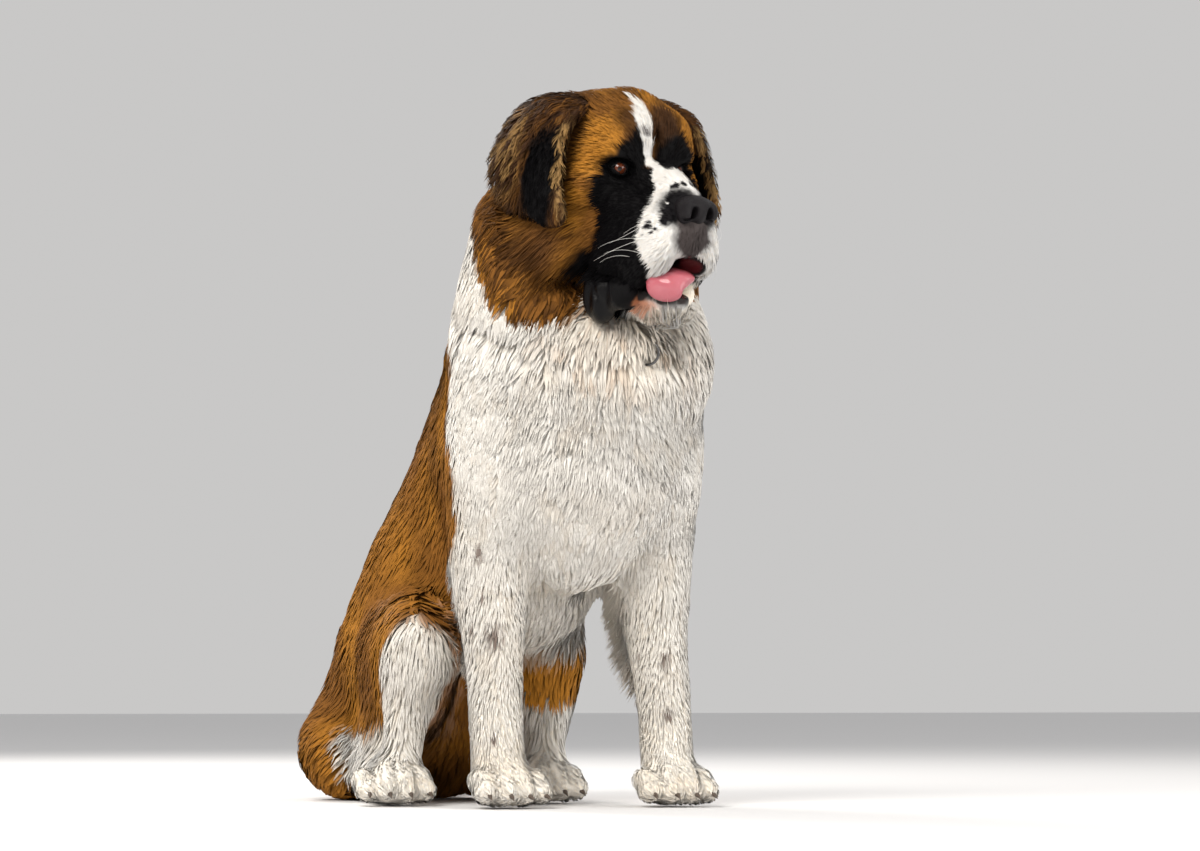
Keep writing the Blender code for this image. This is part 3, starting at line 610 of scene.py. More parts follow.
COLLAR_AT = np.array((0.030, -0.155, 0.688))
COLLAR_TILT = math.radians(-62)
COLLAR_RADII = (0.125, 0.137)  # sideways, and from back to front
COLLAR_THICK = 0.005
COLLAR_TALL = 0.018
COLLAR_GIVE = 0.014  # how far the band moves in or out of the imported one's ellipse, to lie on the neck
COLLAR_AXES = np.array(Matrix.Rotation(COLLAR_TILT, 3, "X"))
COLLAR_STEPS, COLLAR_SIDES = 120, 20  # round the neck, and round the band's section


def collar_field(p):
    """Distance to the room round the band, cut into the neck where it stands out past the band."""
    q = (p - COLLAR_AT) @ COLLAR_AXES
    away = (np.linalg.norm(q[..., [0, 2]] / np.array(COLLAR_RADII), axis=-1) - 1) * sum(COLLAR_RADII) / 2
    return np.maximum(COLLAR_GIVE - away, np.abs(q[..., 1]) - COLLAR_TALL / 2 - 0.003)


def by_collar(p):
    """True on the skin by the band, where no hair grows."""
    q = (p - COLLAR_AT) @ COLLAR_AXES
    deep = collar_field(p) < 0.004
    return (np.abs(q[..., 1]) < np.where(deep, 0.014, 0.007)) & (np.linalg.norm(q, axis=-1) < 0.21)


def claw_root(name):
    co = node_points(name)
    return co[co[:, 1] > co[:, 1].max() - 0.0015].mean(0)


CLAWS = sorted(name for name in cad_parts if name.startswith("claw_"))
FEET = [[claw_root(name) for name in CLAWS[n:n + 4]] for n in range(0, len(CLAWS), 4)]
PAW_TOP = 0.075


def toed(p, found):
    """Adds four toes to each foot, with grooves between them."""
    for foot in FEET:
        around = np.linalg.norm((p - np.mean(foot, axis=0)) * (1, 0.8, 1), axis=-1) < 0.085
        if not around.any():
            continue
        near, values = p[around], found[around]
        for root in foot:
            toe = ellipsoid(near, root + (0, 0.018, 0.004), (0.0132, 0.0250, 0.0150))
            knuckle = ellipsoid(near, root + (0, 0.040, 0.018), (0.0120, 0.0260, 0.0150))
            values = smooth_min(values, smooth_min(toe, knuckle, 0.006), 0.006)
        for one, other in zip(foot, foot[1:]):
            mid = (one + other) / 2
            groove = cone(near, mid + (0, -0.016, 0.002), mid + (0, 0.040, 0.040), 0.0028, 0.0008)
            values = smooth_max(values, -groove, 0.009)
        found[around] = values
    return found


def fringe(p):
    """How far the tips of the hair stand out: most behind the limbs, under the tail and on the ruff."""
    side = folded(p)
    found = 0.016 * blot(side, (115, -35, 250), (60, 35, 150), 0.4)
    found = np.maximum(found, 0.014 * blot(p, (-200, 330, 90), (70, 90, 80), 0.5))
    found = np.maximum(found, 0.012 * blot(side, (60, -235, 580), (120, 60, 160), 0.5))
    q = folded(to_head(p))
    return np.maximum(found, 0.010 * blot(q, (115, 150, -90), (50, 60, 110), 0.4))


def near_head(p):
    return np.linalg.norm((to_head(p) - (0, 0.04, -0.05)) / (0.19, 0.23, 0.21), axis=-1) < 1


def skin_grid(body):
    """Distances to the skin, which lies the coat's depth inside the outline: without and with the groove."""
    points = body.points()
    flat = points.reshape(-1, 3)
    values = np.array(body.values, float).reshape(-1)
    close = np.abs(values) < BAND * 0.95
    values[close] += coat_under(flat[close])
    low = flat[:, 2] < PAW_TOP
    values[low] = toed(flat[low], values[low])
    head = near_head(flat)
    values[head] = smooth_min(values[head], head_field(flat[head]), NECK_JOIN)
    whole = Grid(body.origin, body.step, values.reshape(body.values.shape))
    by = (np.linalg.norm(flat - COLLAR_AT, axis=-1) < 0.24) & close
    values = values.copy()
    values[by] = smooth_max(values[by], -collar_field(flat[by]), GROOVE_EDGE)
    return whole, Grid(body.origin, body.step, values.reshape(body.values.shape))


def coat_under(p):
    return body_coat(p)[2] * 0.92


def put_in_order(elements, place):
    """Sorts them by their places, since subdividing leaves them in no fixed order."""
    places = np.array([place(element)[:] for element in elements])
    elements.index_update()
    rank = np.argsort(np.lexsort(places.T))
    elements.sort(key=lambda element: float(rank[element.index]))


def refined_skin(grid, body):
    """The skin as a bmesh, finest round the eyes, nose and mouth."""
    points, faces = grid.polygons()
    shape = bmesh.new()
    for co in points:
        shape.verts.new(co)
    shape.verts.ensure_lookup_table()
    for face in faces:
        shape.faces.new([shape.verts[i] for i in face])
    drop_crumbs(shape)
    for reach in FINER:
        co = np.array([v.co for v in shape.verts])
        chosen = reach(co, to_head(co))
        shape.verts.index_update()
        edges = [e for e in shape.edges if chosen[e.verts[0].index] and chosen[e.verts[1].index]]
        bmesh.ops.subdivide_edges(shape, edges=edges, cuts=1, use_grid_fill=True)
    put_in_order(shape.verts, lambda vert: vert.co)
    put_in_order(shape.faces, lambda face: face.calc_center_median())
    settle(shape, body)
    return shape


def by_foot(p):
    """True near the toes."""
    middles = [np.mean(foot, axis=0) + (0, 0.02, 0) for foot in FEET]
    away = [np.linalg.norm((p - middle_of) * (1, 0.8, 1), axis=-1) for middle_of in middles]
    return np.min(away, axis=0) < 0.068


FINER = (
    lambda p, q: (np.linalg.norm((q - (0, 0.03, -0.05)) / (0.17, 0.175, 0.175), axis=-1) < 1) | by_foot(p),
    lambda p, q: (q[:, 1] < 0.030) & (np.abs(q[:, 0]) < 0.09) & (q[:, 2] > -0.23) & (q[:, 2] < 0.045),
    lambda p, q: np.linalg.norm(folded(q) - (0.050, 0.0, -0.001), axis=-1) < 0.024,
)


def drop_crumbs(shape):
    left = set(shape.verts)
    pieces = []
    while left:
        piece, front = set(), {left.pop()}
        while front:
            piece |= front
            front = {edge.other_vert(vert) for vert in front for edge in vert.link_edges} - piece
        left -= piece
        pieces.append(piece)
    pieces.sort(key=len)
    for piece in pieces[:-1]:
        bmesh.ops.delete(shape, geom=list(piece), context="VERTS")


def exact_field(p, body):
    """The skin's distance near the head, without the grid's coarseness."""
    values = smooth_max(toed(p, body(p) + coat_under(p)), -collar_field(p), GROOVE_EDGE)
    head = near_head(p)
    values[head] = smooth_min(values[head], head_field(p[head]), NECK_JOIN)
    return values


def settle(shape, body, rounds=3, h=0.0006):
    """Moves the head's vertices onto its surface."""
    co = np.array([v.co for v in shape.verts])
    chosen = np.nonzero(FINER[0](co, to_head(co)))[0]
    p = co[chosen]
    for _ in range(rounds):
        value = exact_field(p, body)
        slope = np.stack([exact_field(p + axis, body) - value for axis in np.eye(3) * h], -1) / h
        steep = np.maximum((slope**2).sum(-1), 0.2)
        move = -slope * np.clip(value / steep, -0.004, 0.004)[..., None]
        p = p + move
    shape.verts.ensure_lookup_table()
    for index, place in zip(chosen, p):
        shape.verts[index].co = place


# Colours


def blot(q, centre, radii, soft=0.25):
    """1 inside an ellipsoid given in millimetres, fading to 0 across its edge."""
    reach = np.linalg.norm((q - metres(centre)) / metres(radii), axis=-1)
    return smoothstep(reach, 1 + soft, 1 - soft)


def line(q, *stations, soft=0.0015):
    """1 within a chain of round stations, each (x, y, z, radius)."""
    return smoothstep(chain(q, *stations, k=0.002), soft, -soft)


POUCH_BLACK = ((51, 4, -179), (35, 52, 46), 0.06)
LIP_EDGE = metres((
    (0, -128, -100, 4), (24, -112, -122, 5), (36, -94, -138, 6),
    (46, -70, -156, 12), (55, -40, -160, 12),
))
BLAZE = metres((
    (-21, 30, 94, 4), (-22, 8, 82, 8), (-24, -8, 62, 13.5), (-22, -14, 46, 8),
    (-18, -16, 32, 7.5), (-17, -18, 14, 8), (-16, -34, -4, 12), (-10, -58, -14, 22),
))
LOWER_LIP = metres(((34, -18, -166, 8), (25, -75, -168, 7), (0, -105, -164, 6)))


# Patches of colour on the head: on both sides, colour, strength, centre, radii and the softness of the edge
HEAD_BRIGHT = (
    (True, RUST * 1.15, 1, (80, 20, 25), (34, 40, 42), 0.25),
    (False, RUST * 1.2, 1, (60, 10, 70), (30, 50, 50), 0.25),
    (True, RUST * 1.1, 1, (105, 25, -60), (26, 26, 34), 0.25),
)
HEAD_DARK = (
    (True, UMBER * 1.5, 0.6, (112, 70, -105), (30, 50, 40), 0.5),
    (True, UMBER, 0.75, (70, 110, 90), (40, 50, 30), 0.5),
    (True, UMBER, 0.8, (105, 60, 45), (22, 40, 50), 0.5),
    (True, UMBER * 0.7, 0.8, (16, -15, 48), (18, 30, 24), 0.5),
    (False, UMBER, 0.85, (12, 0, 62), (26, 26, 30), 0.4),
    (False, UMBER, 0.8, (-40, -4, 58), (16, 26, 34), 0.5),
)


def daubed(colour, q, patches):
    """Colours with patches laid over each other."""
    for both, tint, strength, *shape in patches:
        colour = mix(colour, tint, strength * blot(folded(q) if both else q, *shape))
    return colour


# The black from round the eyes to the lower lip: on both sides, centre, radii and the softness of the edge
MASK = (
    (True, (50, -2, -4), (33, 34, 25)),
    (True, (40, -12, 18), (27, 28, 24)),
    (True, (34, -18, 34), (15, 22, 18)),
    (False, (30, -18, 12), (38, 34, 36)),
    (False, (6, -40, 10), (22, 30, 24)),
    (True, (70, 16, -150), (30, 40, 45)),
    (True, (52, 8, -180), (34, 56, 46), 0.12),
)


def black_mask(q):
    y, z = q[..., 1], q[..., 2]
    back = 0.012 - 0.010 * smoothstep(z, -0.035, -0.070) + 0.024 * smoothstep(z, -0.100, -0.150)
    back = back - 0.014 * smoothstep(z, -0.020, 0.006)
    side = smoothstep(y, back + 0.003, back - 0.003) * smoothstep(z, 0.012, 0.002)
    return np.maximum.reduce([side, *(blot(folded(q) if both else q, *shape) for both, *shape in MASK)])


def white_marks(q):
    """1 on the blaze and the muzzle."""
    y, z = q[..., 1], q[..., 2]
    edge = -0.067 - 0.015 * smoothstep(z, -0.07, -0.13) + 0.017 * smoothstep(z, -0.055, -0.015)
    muzzle = smoothstep(y, edge + 0.003, edge - 0.003) * smoothstep(z, -0.160, -0.148)
    return np.maximum(line(q, *BLAZE), muzzle)


def lip_colours(colour, q, f):
    """The chin, the lips and the mouth."""
    # the chin in the face's white, darkened as painted shade
    colour = mix(colour, SHADED_FACE_WHITE, blot(f, (0, -60, -202), (40, 70, 36), 0.2))
    colour = mix(colour, STAIN, 0.85 * blot(f, (30, -48, -182), (16, 34, 12), 0.4))
    colour = mix(colour, GREY * 0.6, line(f, *LOWER_LIP))
    colour = mix(colour, BLACK, blot(f, *POUCH_BLACK))
    colour = mix(colour, BLACK * 1.6, line(f, *LIP_EDGE))
    colour = mix(colour, BLACK * 1.5, smoothstep(mouth_field(q), 0.0045, 0.0020))
    inside = smoothstep(mouth_field(q), 0.0015, -0.0010) * smoothstep(q[..., 1], -0.118, -0.100)
    return mix(colour, GUM, inside)


def head_colours(q):
    """The head's markings, in its own frame. Right is -X."""
    r = ragged(q, (0.004, 0.012, 0), (0.0015, 0.004, 3))
    f = folded(r)
    colour = mix(BROWN, RUST, smoothstep(noise(q, 0.030, 9), -0.3, 0.7))
    colour = daubed(colour, r, HEAD_BRIGHT)
    dark = noise(q * np.array((1, 1, 0.6)), 0.018, 18)
    colour = mix(colour, BROWN * 0.5, 0.7 * smoothstep(dark, 0.0, 0.9))
    colour = daubed(colour, r, HEAD_DARK)
    colour = mix(colour, BLACK, black_mask(r))
    # the blaze and the muzzle in the face's white, darkened as painted shade
    colour = mix(colour, SHADED_FACE_WHITE, white_marks(r))
    colour = mix(colour, GREY, 0.85 * blot(r, (-22, -20, 50), (8, 20, 5), 0.5))
    near_nose = blot(f, (22, -102, -40), (28, 30, 28), 0.3)
    colour = mix(colour, BLACK * 2, near_nose * smoothstep(noise(q, 0.006, 4), -1.0, -0.7))
    colour = mix(colour, GREY * 0.9, blot(f, (4, -122, -78), (29, 30, 34), 0.22))
    for *spot, size in SPOTS:
        away = np.linalg.norm(r - np.array(spot), axis=-1)
        colour = mix(colour, BLACK * 3, smoothstep(away, size * 1.60, size * 0.95))
    return lip_colours(colour, q, f)


SPOTS = metres((  # dark spots on the white of the muzzle: place and size
    (-44, -58, -26, 4), (-43, -70, -36, 3.4), (-20, -62, -6, 1.8), (-30, -82, -22, 6.2),
    (-38, -87, -34, 6.8), (-20, -80, -13, 5.5), (-40, -94, -46, 7), (-6, -83, -10, 5),
    (-40, -98, -60, 6), (-52, -80, -68, 5), (-48, -90, -72, 4.2), (-55, -72, -80, 4),
    (-52, -86, -79, 3.4), (-45, -91, -112, 4.6), (-50, -80, -126, 3.6), (30, -82, -22, 5.8),
    (38, -90, -40, 7), (12, -81, -11, 4.5), (50, -80, -62, 4.8), (44, -64, -26, 4), (54, -74, -94, 3.6),
))


def ear_colours(q):
    h = folded(q)
    strands = noise(q * np.array((1.0, 1.0, 0.35)), 0.006, 5)
    colour = mix(UMBER, BROWN * 0.8, smoothstep(strands, -0.2, 0.8))
    colour = mix(colour, BLACK, blot(h, (140, 60, -20), (40, 36, 84), 0.2))
    tan = smoothstep(h[..., 1], 0.095, 0.120) * smoothstep(h[..., 2], 0.075, 0.050)
    tan = tan * smoothstep(strands, -0.20, 0.30) * smoothstep(h[..., 2], -0.060, -0.020)
    heights, fronts = np.array([(row[2], row[1] - row[4]) for row in reversed(EAR)]).T
    rim = h[..., 1] - np.interp(h[..., 2], heights, fronts)
    front = smoothstep(rim + 0.004 * noise(q, 0.007, 15), 0.010, 0.006) * smoothstep(h[..., 2], 0.066, 0.056)
    front = front * smoothstep(h[..., 2], -0.078, -0.066) * smoothstep(noise(q, 0.005, 16), -0.35, 0.25)
    return mix(colour, TAN * 0.75, np.clip(tan * 0.75 + front * 0.85, 0, 1))


def saddle(r):
    """1 on the brown of the body, and 0 on its white."""
    x, y, z = np.moveaxis(r, -1, 0)
    edge = -0.105 - 0.016 * np.cos((z - 0.46) * 26)
    found = smoothstep(y, edge - 0.006, edge + 0.006)
    found = found * smoothstep(z, 0.712 + 0.25 * y, 0.698 + 0.25 * y)  # below the white of the neck
    found = found * np.clip(smoothstep(z, 0.345, 0.375) + smoothstep(y, -0.020, 0.000), 0, 1)
    found = found * (1 - blot(r, (0, -30, 270), (90, 90, 60)))
    knee = blot(r, (-215, 0, 190), (62, 50, 75), 0.12)
    foot = smoothstep(z, 0.135, 0.120) * smoothstep(y, 0.225, 0.205) * smoothstep(x, -0.150, -0.165)
    inner_knee = blot(r, (-130, 50, 170), (34, 90, 120), 0.2)
    left_foot = smoothstep(z, 0.165, 0.155) * smoothstep(y, 0.180, 0.165) * smoothstep(x, -0.060, -0.050)
    right_white = np.maximum(knee, foot) * (1 - inner_knee)
    found = found * (1 - right_white) * (1 - left_foot)
    _, along, _ = tail_lie(r)
    return found * (1 - smoothstep(along, 0.66, 0.71))


def body_brown(p, r):
    brown = mix(BROWN, RUST, smoothstep(noise(p * np.array((1, 1, 0.5)), 0.045, 6), -0.6, 0.8))
    brown = mix(brown, BROWN * 0.6, smoothstep(noise(p * np.array((1, 1, 0.4)), 0.060, 8), 0.15, 0.9))
    brown = mix(brown, RUST * 1.35, blot(r, (20, 40, 190), (80, 110, 70), 0.4))
    rosy = blot(r, (-135, 50, 120), (50, 100, 130), 0.4)
    return mix(brown, ROSY, 0.75 * rosy * smoothstep(noise(p, 0.012, 17), -0.5, 0.4))


def body_white(p, r):
    white = mix(WHITE, CREAM, 0.35 * smoothstep(noise(p, 0.050, 12), 0.0, 0.9))
    # cream lines where this noise crosses zero: painted shade in the creases between clumps
    shaded_creases = noise(p * np.array((1, 1, 0.45)), 0.030, 19)
    white = mix(white, CREAM, 0.40 * smoothstep(np.abs(shaded_creases), 0.16, 0.0))
    stain = blot(r, (10, -280, 665), (110, 80, 60), 0.5)
    white = mix(white, CREAM, 0.6 * stain)
    return mix(white, PEACH, 0.7 * stain * smoothstep(noise(p, 0.014, 13), -0.1, 0.7))


def body_colours(p):
    r = ragged(p, (0.010, 0.035, 0), (0.004, 0.010, 3))
    colour = mix(body_white(p, r), body_brown(p, r), saddle(r))
    for *spot, size in TICKS:
        away = np.linalg.norm((p - np.array(spot)) * np.array((1, 1, 0.7)), axis=-1)
        away = away + 0.004 * noise(p, 0.006, 2)
        tick = smoothstep(away, size * 1.7, size * 0.7) * smoothstep(noise(p, 0.004, 14), -0.7, 0.1)
        colour = mix(colour, GREY * np.array((1.5, 1.1, 0.9)), 0.9 * tick)
    return colour


TICKS = metres((  # small spots on the white of the forelegs: place and size
    (-159, -150, 369, 10), (-151, -152, 296, 7), (-138, -164, 245, 13), (-162, -136, 253, 7),
    (-162, -136, 215, 6), (-143, -178, 99, 6), (107, -162, 278, 8), (113, -169, 214, 9),
    (84, -134, 224, 6), (112, -176, 134, 8), (150, -130, 300, 8), (160, -120, 200, 7),
))


def on_brown_head(q):
    """1 on the brown and black of the head, and 0 on the white of the neck."""
    n = 0.010 * noise(q, 0.020, 1) + 0.004 * noise(q, 0.007, 2)
    ahead = (q[..., 1] - 0.050) / np.where(q[..., 1] < 0.05, 0.30, 0.152)
    below = 0.150 - 0.045 * smoothstep(q[..., 0], 0.0, 0.04) * smoothstep(q[..., 1], 0.10, 0.05)
    reach = np.hypot(ahead, (q[..., 2] + 0.050) / np.where(q[..., 2] < -0.05, below, 0.22))
    brown = smoothstep(reach + n * 6, 1.03, 0.97)
    return np.maximum(brown, blot(folded(q), *POUCH_BLACK))


def colours(p):
    """The dog's colour at points of its frame."""
    q = to_head(p)
    colour = body_colours(p)
    near = near_head(p)
    colour[near] = mix(colour[near], head_colours(q[near]), on_brown_head(q[near]))
    h = folded(q[near])
    on_ear = smoothstep(ear_field(h), 0.007, 0.003)
    colour[near] = mix(colour[near], ear_colours(q[near]), on_ear)
    return colour


def wetness(p):
    """1 on the bare wet skin of the lips, the lid rims and the mouth."""
    q = to_head(p)
    h = folded(q)
    wet = smoothstep(mouth_field(q), 0.005, 0.003)
    wet = np.maximum(wet, blot(h, (54, 6, -182), (27, 44, 38), 0.10))
    e = eye_frame(h)
    rim = smoothstep(slit(e), 0.0022, 0.0010) * smoothstep(np.linalg.norm(e, axis=-1), 0.020, 0.018)
    return np.maximum(wet, rim)


def add_colours(mesh, values):
    layer = mesh.attributes.new("coat", "FLOAT_COLOR", "POINT")
    rgba = np.ones((len(values), 4), np.float32)
    rgba[:, :3] = values
    layer.data.foreach_set("color", rgba.ravel())


def unwrap(obj):
    """Gives the skin its bake map."""
    bpy.context.view_layer.objects.active = obj
    obj.select_set(True)
    bpy.ops.object.mode_set(mode="EDIT")
    bpy.ops.mesh.select_all(action="SELECT")
    bpy.ops.uv.smart_project(angle_limit=math.radians(66), island_margin=0.002)
    bpy.ops.object.mode_set(mode="OBJECT")
    obj.data.uv_layers[0].name = "OFBake"


def make_skin(body, grid):
    shape = refined_skin(grid, body)
    mesh = bpy.data.meshes.new("skin")
    shape.to_mesh(mesh)
    shape.free()
    mesh.shade_smooth()
    co = read(mesh.vertices, "co", 3)
    add_colours(mesh, colours(co))
    wet = mesh.attributes.new("wet", "FLOAT", "POINT")
    wet.data.foreach_set("value", wetness(co).astype(np.float32))
    skin = add("skin", mesh)
    unwrap(skin)
    return skin


# Materials


class Finish:
    """A material while it is being made."""

    def __init__(self, name, inputs):
        self.material = bpy.data.materials.new(name)
        self.material.use_nodes = True
        self.shader = self.material.node_tree.nodes["Principled BSDF"]
        self.give(self.shader, inputs)

    def give(self, node, inputs):
        for name, value in inputs.items():
            node.inputs[name].default_value = value

    def link(self, output, node, name):
        self.material.node_tree.links.new(output, node.inputs[name])

    def node(self, kind, inputs={}):
        node = self.material.node_tree.nodes.new("ShaderNode" + kind)
        self.give(node, inputs)
        return node

    def noise(self, scale):
        return self.node("TexNoise", {"Scale": scale, "Detail": 3.0}).outputs["Fac"]

    def stored(self, name):
        """A value or colour kept on the mesh."""
        node = self.node("Attribute")
        node.attribute_name = name
        return node.outputs

    def mapped(self, value, low, high, to_low, to_high):
        limits = {"From Min": low, "From Max": high, "To Min": to_low, "To Max": to_high}
        node = self.node("MapRange", limits)
        self.link(value, node, "Value")
        return node.outputs["Result"]

    def rough(self, value, low, high, to_low, to_high):
        self.link(self.mapped(value, low, high, to_low, to_high), self.shader, "Roughness")

    def ramp(self, value, low, high):
        """Lets the shader's colour run between two colours."""
        node = self.node("ValToRGB")
        for element, colour in zip(node.color_ramp.elements, (low, high)):
            element.color = (*colour, 1)
        self.link(value, node, "Fac")
        self.link(node.outputs["Color"], self.shader, "Base Color")

    def own_colour(self, value, darkest, lightest):
        """Gives the shader the colour kept on the mesh, made lighter and darker by a pattern."""
        node = self.node("VectorMath")
        node.operation = "SCALE"
        self.link(self.stored("coat")["Color"], node, 0)
        self.link(self.mapped(value, 0.3, 0.7, darkest, lightest), node, "Scale")
        self.link(node.outputs["Vector"], self.shader, "Base Color")

    def bump(self, height, strength, distance):
        node = self.node("Bump", {"Strength": strength, "Distance": distance})
        self.link(height, node, "Height")
        self.link(node.outputs["Normal"], self.shader, "Normal")

    def pebbled(self, scale, strength, distance):
        self.bump(self.node("TexVoronoi", {"Scale": scale}).outputs["Distance"], strength, distance)


def skin_material():
    finish = Finish("skin", {"Specular IOR Level": 0.14})
    grain = finish.noise(900.0)
    finish.own_colour(grain, 0.80, 1.10)
    finish.rough(finish.stored("wet")["Fac"], 0, 1, 0.85, 0.16)
    finish.bump(grain, 0.5, 0.0012)
    return finish.material


SOFT = {"Subsurface Weight": 0.45, "Subsurface Radius": (1.0, 0.97, 0.92), "Subsurface Scale": 0.006}


def coat_material(name, inputs, darkest, lightest, strength):
    """Fine streaks along each tuft, over the colour of its place. Light passes into soft hair."""
    finish = Finish(name, {"Roughness": 0.62, "Specular IOR Level": 0.03, **inputs})
    lock = finish.node("UVMap")
    lock.uv_map = "lock"
    stretch = finish.node("Mapping", {"Scale": (9.0, 1.2, 1.0)})
    streaks = finish.node("TexNoise", {"Scale": 1.0, "Detail": 2.0})
    finish.link(lock.outputs["UV"], stretch, "Vector")
    finish.link(stretch.outputs["Vector"], streaks, "Vector")
    finish.own_colour(streaks.outputs["Fac"], darkest, lightest)
    finish.bump(streaks.outputs["Fac"], strength, 0.0006)
    return finish.material


BROWN_COATS = ("coat_ears", "coat_cheeks", "coat_side_left", "coat_side_right", "coat_rump", "coat_tail")
SLOTS = {"coat_face": "coat_black", **dict.fromkeys(BROWN_COATS, "coat_brown")}
# Coat pieces: the most triangles, rings of each tuft, its width, how far tufts gather into locks, how wavy
# they are, and how many roots share a lock
COATS = {
    "coat_face": (150_000, 2, 0.0015, 0.10, 0.00, 5),
    "coat_ears": (110_000, 3, 0.0024, 0.55, 1.00, 7),
    "coat_cheeks": (160_000, 3, 0.0026, 0.35, 0.20, 7),
    "coat_neck_left": (110_000, 3, 0.0085, 0.38, 0.25, 40),
    "coat_neck_right": (150_000, 3, 0.0078, 0.38, 0.25, 50),
    "coat_chest_left": (115_000, 3, 0.0080, 0.38, 0.25, 50),
    "coat_chest_right": (140_000, 3, 0.0076, 0.38, 0.25, 60),
    "coat_side_left": (80_000, 3, 0.0075, 0.30, 0.15, 10),
    "coat_side_right": (125_000, 3, 0.0060, 0.30, 0.15, 12),
    "coat_rump": (75_000, 3, 0.0065, 0.40, 0.25, 8),
    "coat_forelegs": (140_000, 2, 0.0040, 0.15, 0.05, 6),
    "coat_hindlegs": (130_000, 3, 0.0054, 0.30, 0.20, 8),
    "coat_tail": (65_000, 3, 0.0050, 0.50, 0.35, 8),
}
FINE_FACE = (0, -0.02, -0.07)  # hair is finest near here in the head's frame


def coat_name(p):
    """The coat piece that each root belongs to, as an index into COATS."""
    q = to_head(p)
    h = folded(q)
    x, y, z = np.moveaxis(p, -1, 0)
    skull = near_head(p)
    skull[skull] = head_field(p[skull]) < 0.004
    ears = skull.copy()
    ears[ears] = ear_field(h[ears]) < 0.003
    cheek = (h[:, 2] < -0.06) & (q[:, 1] > 0.02) & (h[:, 0] > 0.06)
    left = x > 0.02
    chest = (y < -0.13) & (z >= 0.36)
    neck = z > 0.665 + 0.25 * (y + 0.1)
    hind = (z < 0.33) & (y > np.maximum(-0.04, -0.06 + 0.4 * z)) & (y < 0.26)
    found = np.zeros(len(p), int)
    for name, here in (  # each over the one before
        ("coat_side_left", x > 0), ("coat_side_right", x <= 0),
        ("coat_rump", (y > 0.20) & (z < 0.36)),
        ("coat_chest_left", chest & left), ("coat_chest_right", chest & ~left),
        ("coat_neck_left", neck & left), ("coat_neck_right", neck & ~left),
        ("coat_forelegs", (z < 0.36) & (y < 0.0) & (np.abs(x) > 0.06)),
        ("coat_hindlegs", hind & ((z <= 0.24) | (y <= 0.1))),
        ("coat_tail", y > 0.40),
        ("coat_cheeks", skull),
        ("coat_face", skull & (q[:, 1] < 0.06) & ~cheek),
        ("coat_ears", ears),
    ):
        found[here] = list(COATS).index(name)
    return found


def bare(p):
    """True where no hair grows: eyes, nose, lips and mouth, and under the feet."""
    q = to_head(p)
    h = folded(q)
    e = eye_frame(h)
    eye = (np.abs(e[:, 0]) < 0.0150) & (np.abs(e[:, 2]) < 0.0085) & (np.linalg.norm(e, axis=-1) < 0.022)
    nose = nose_field(q) < 0.0015
    mouth = mouth_field(q) < 0.0035
    pouch = (pouch_field(h) < 0.003) & (q[:, 1] < 0.050) & (q[:, 2] < -0.152)
    lip = chain(h, *LOWER_LIP) < 0.003
    under = p[:, 2] < 0.006
    return eye | nose | mouth | pouch | lip | under | by_collar(p)


def hair_wanted(centre, area, piece):
    """How much hair each triangle wants, compared with the others of its piece."""
    wanted = area * np.where(bare(centre), 0.0, 1.0)
    face = piece == list(COATS).index("coat_face")
    away = np.linalg.norm(folded(to_head(centre)) - FINE_FACE, axis=-1)
    wanted[face] *= 1 + 1.5 * smoothstep(away[face], 0.11, 0.06)
    above = ((centre - COLLAR_AT) @ COLLAR_AXES)[:, 1]
    return wanted * np.where((above > -0.045) & (above < 0) & ~near_head(centre), 1.9, 1.0)


def roots_on(mesh, rng):
    """Evenly scattered roots: their places, normals, bake map places and coat piece."""
    mesh.calc_loop_triangles()
    tris, loops = (read(mesh.loop_triangles, of, 3, np.int32) for of in ("vertices", "loops"))
    co, normals = (read(mesh.vertices, of, 3) for of in ("co", "normal"))
    uv = read(mesh.uv_layers["OFBake"].data, "uv", 2)
    a, b, c = (co[tris[:, n]] for n in range(3))
    area = np.linalg.norm(np.cross(b - a, c - a), axis=-1) / 2
    centre = (a + b + c) / 3
    piece = coat_name(centre)
    wanted = hair_wanted(centre, area, piece)
    total = np.bincount(piece, wanted, len(COATS))
    number = np.array([row[0] / (6 * row[1] - 2) for row in COATS.values()])
    number = wanted * (number / np.maximum(total, 1e-9))[piece] + rng.random(len(tris))
    chosen = np.repeat(np.arange(len(tris)), np.floor(number).astype(int))
    share = rng.random((len(chosen), 2))
    flip = share.sum(-1) > 1
    share[flip] = 1 - share[flip]
    weights = np.concatenate([1 - share.sum(-1, keepdims=True), share], -1)[..., None]
    at = (co[tris[chosen]] * weights).sum(1)
    up = unit((normals[tris[chosen]] * weights).sum(1))
    where = (uv[loops[chosen]] * weights).sum(1)
    keep = ~bare(at)
    return at[keep], up[keep], where[keep], piece[chosen][keep]


def combed(p, up):
    """The coat's direction along the skin, with its length and depth."""
    lie, length, depth = coat_at(p)
    lie = lie - up * (lie * up).sum(-1, keepdims=True)
    return unit(lie), length, depth


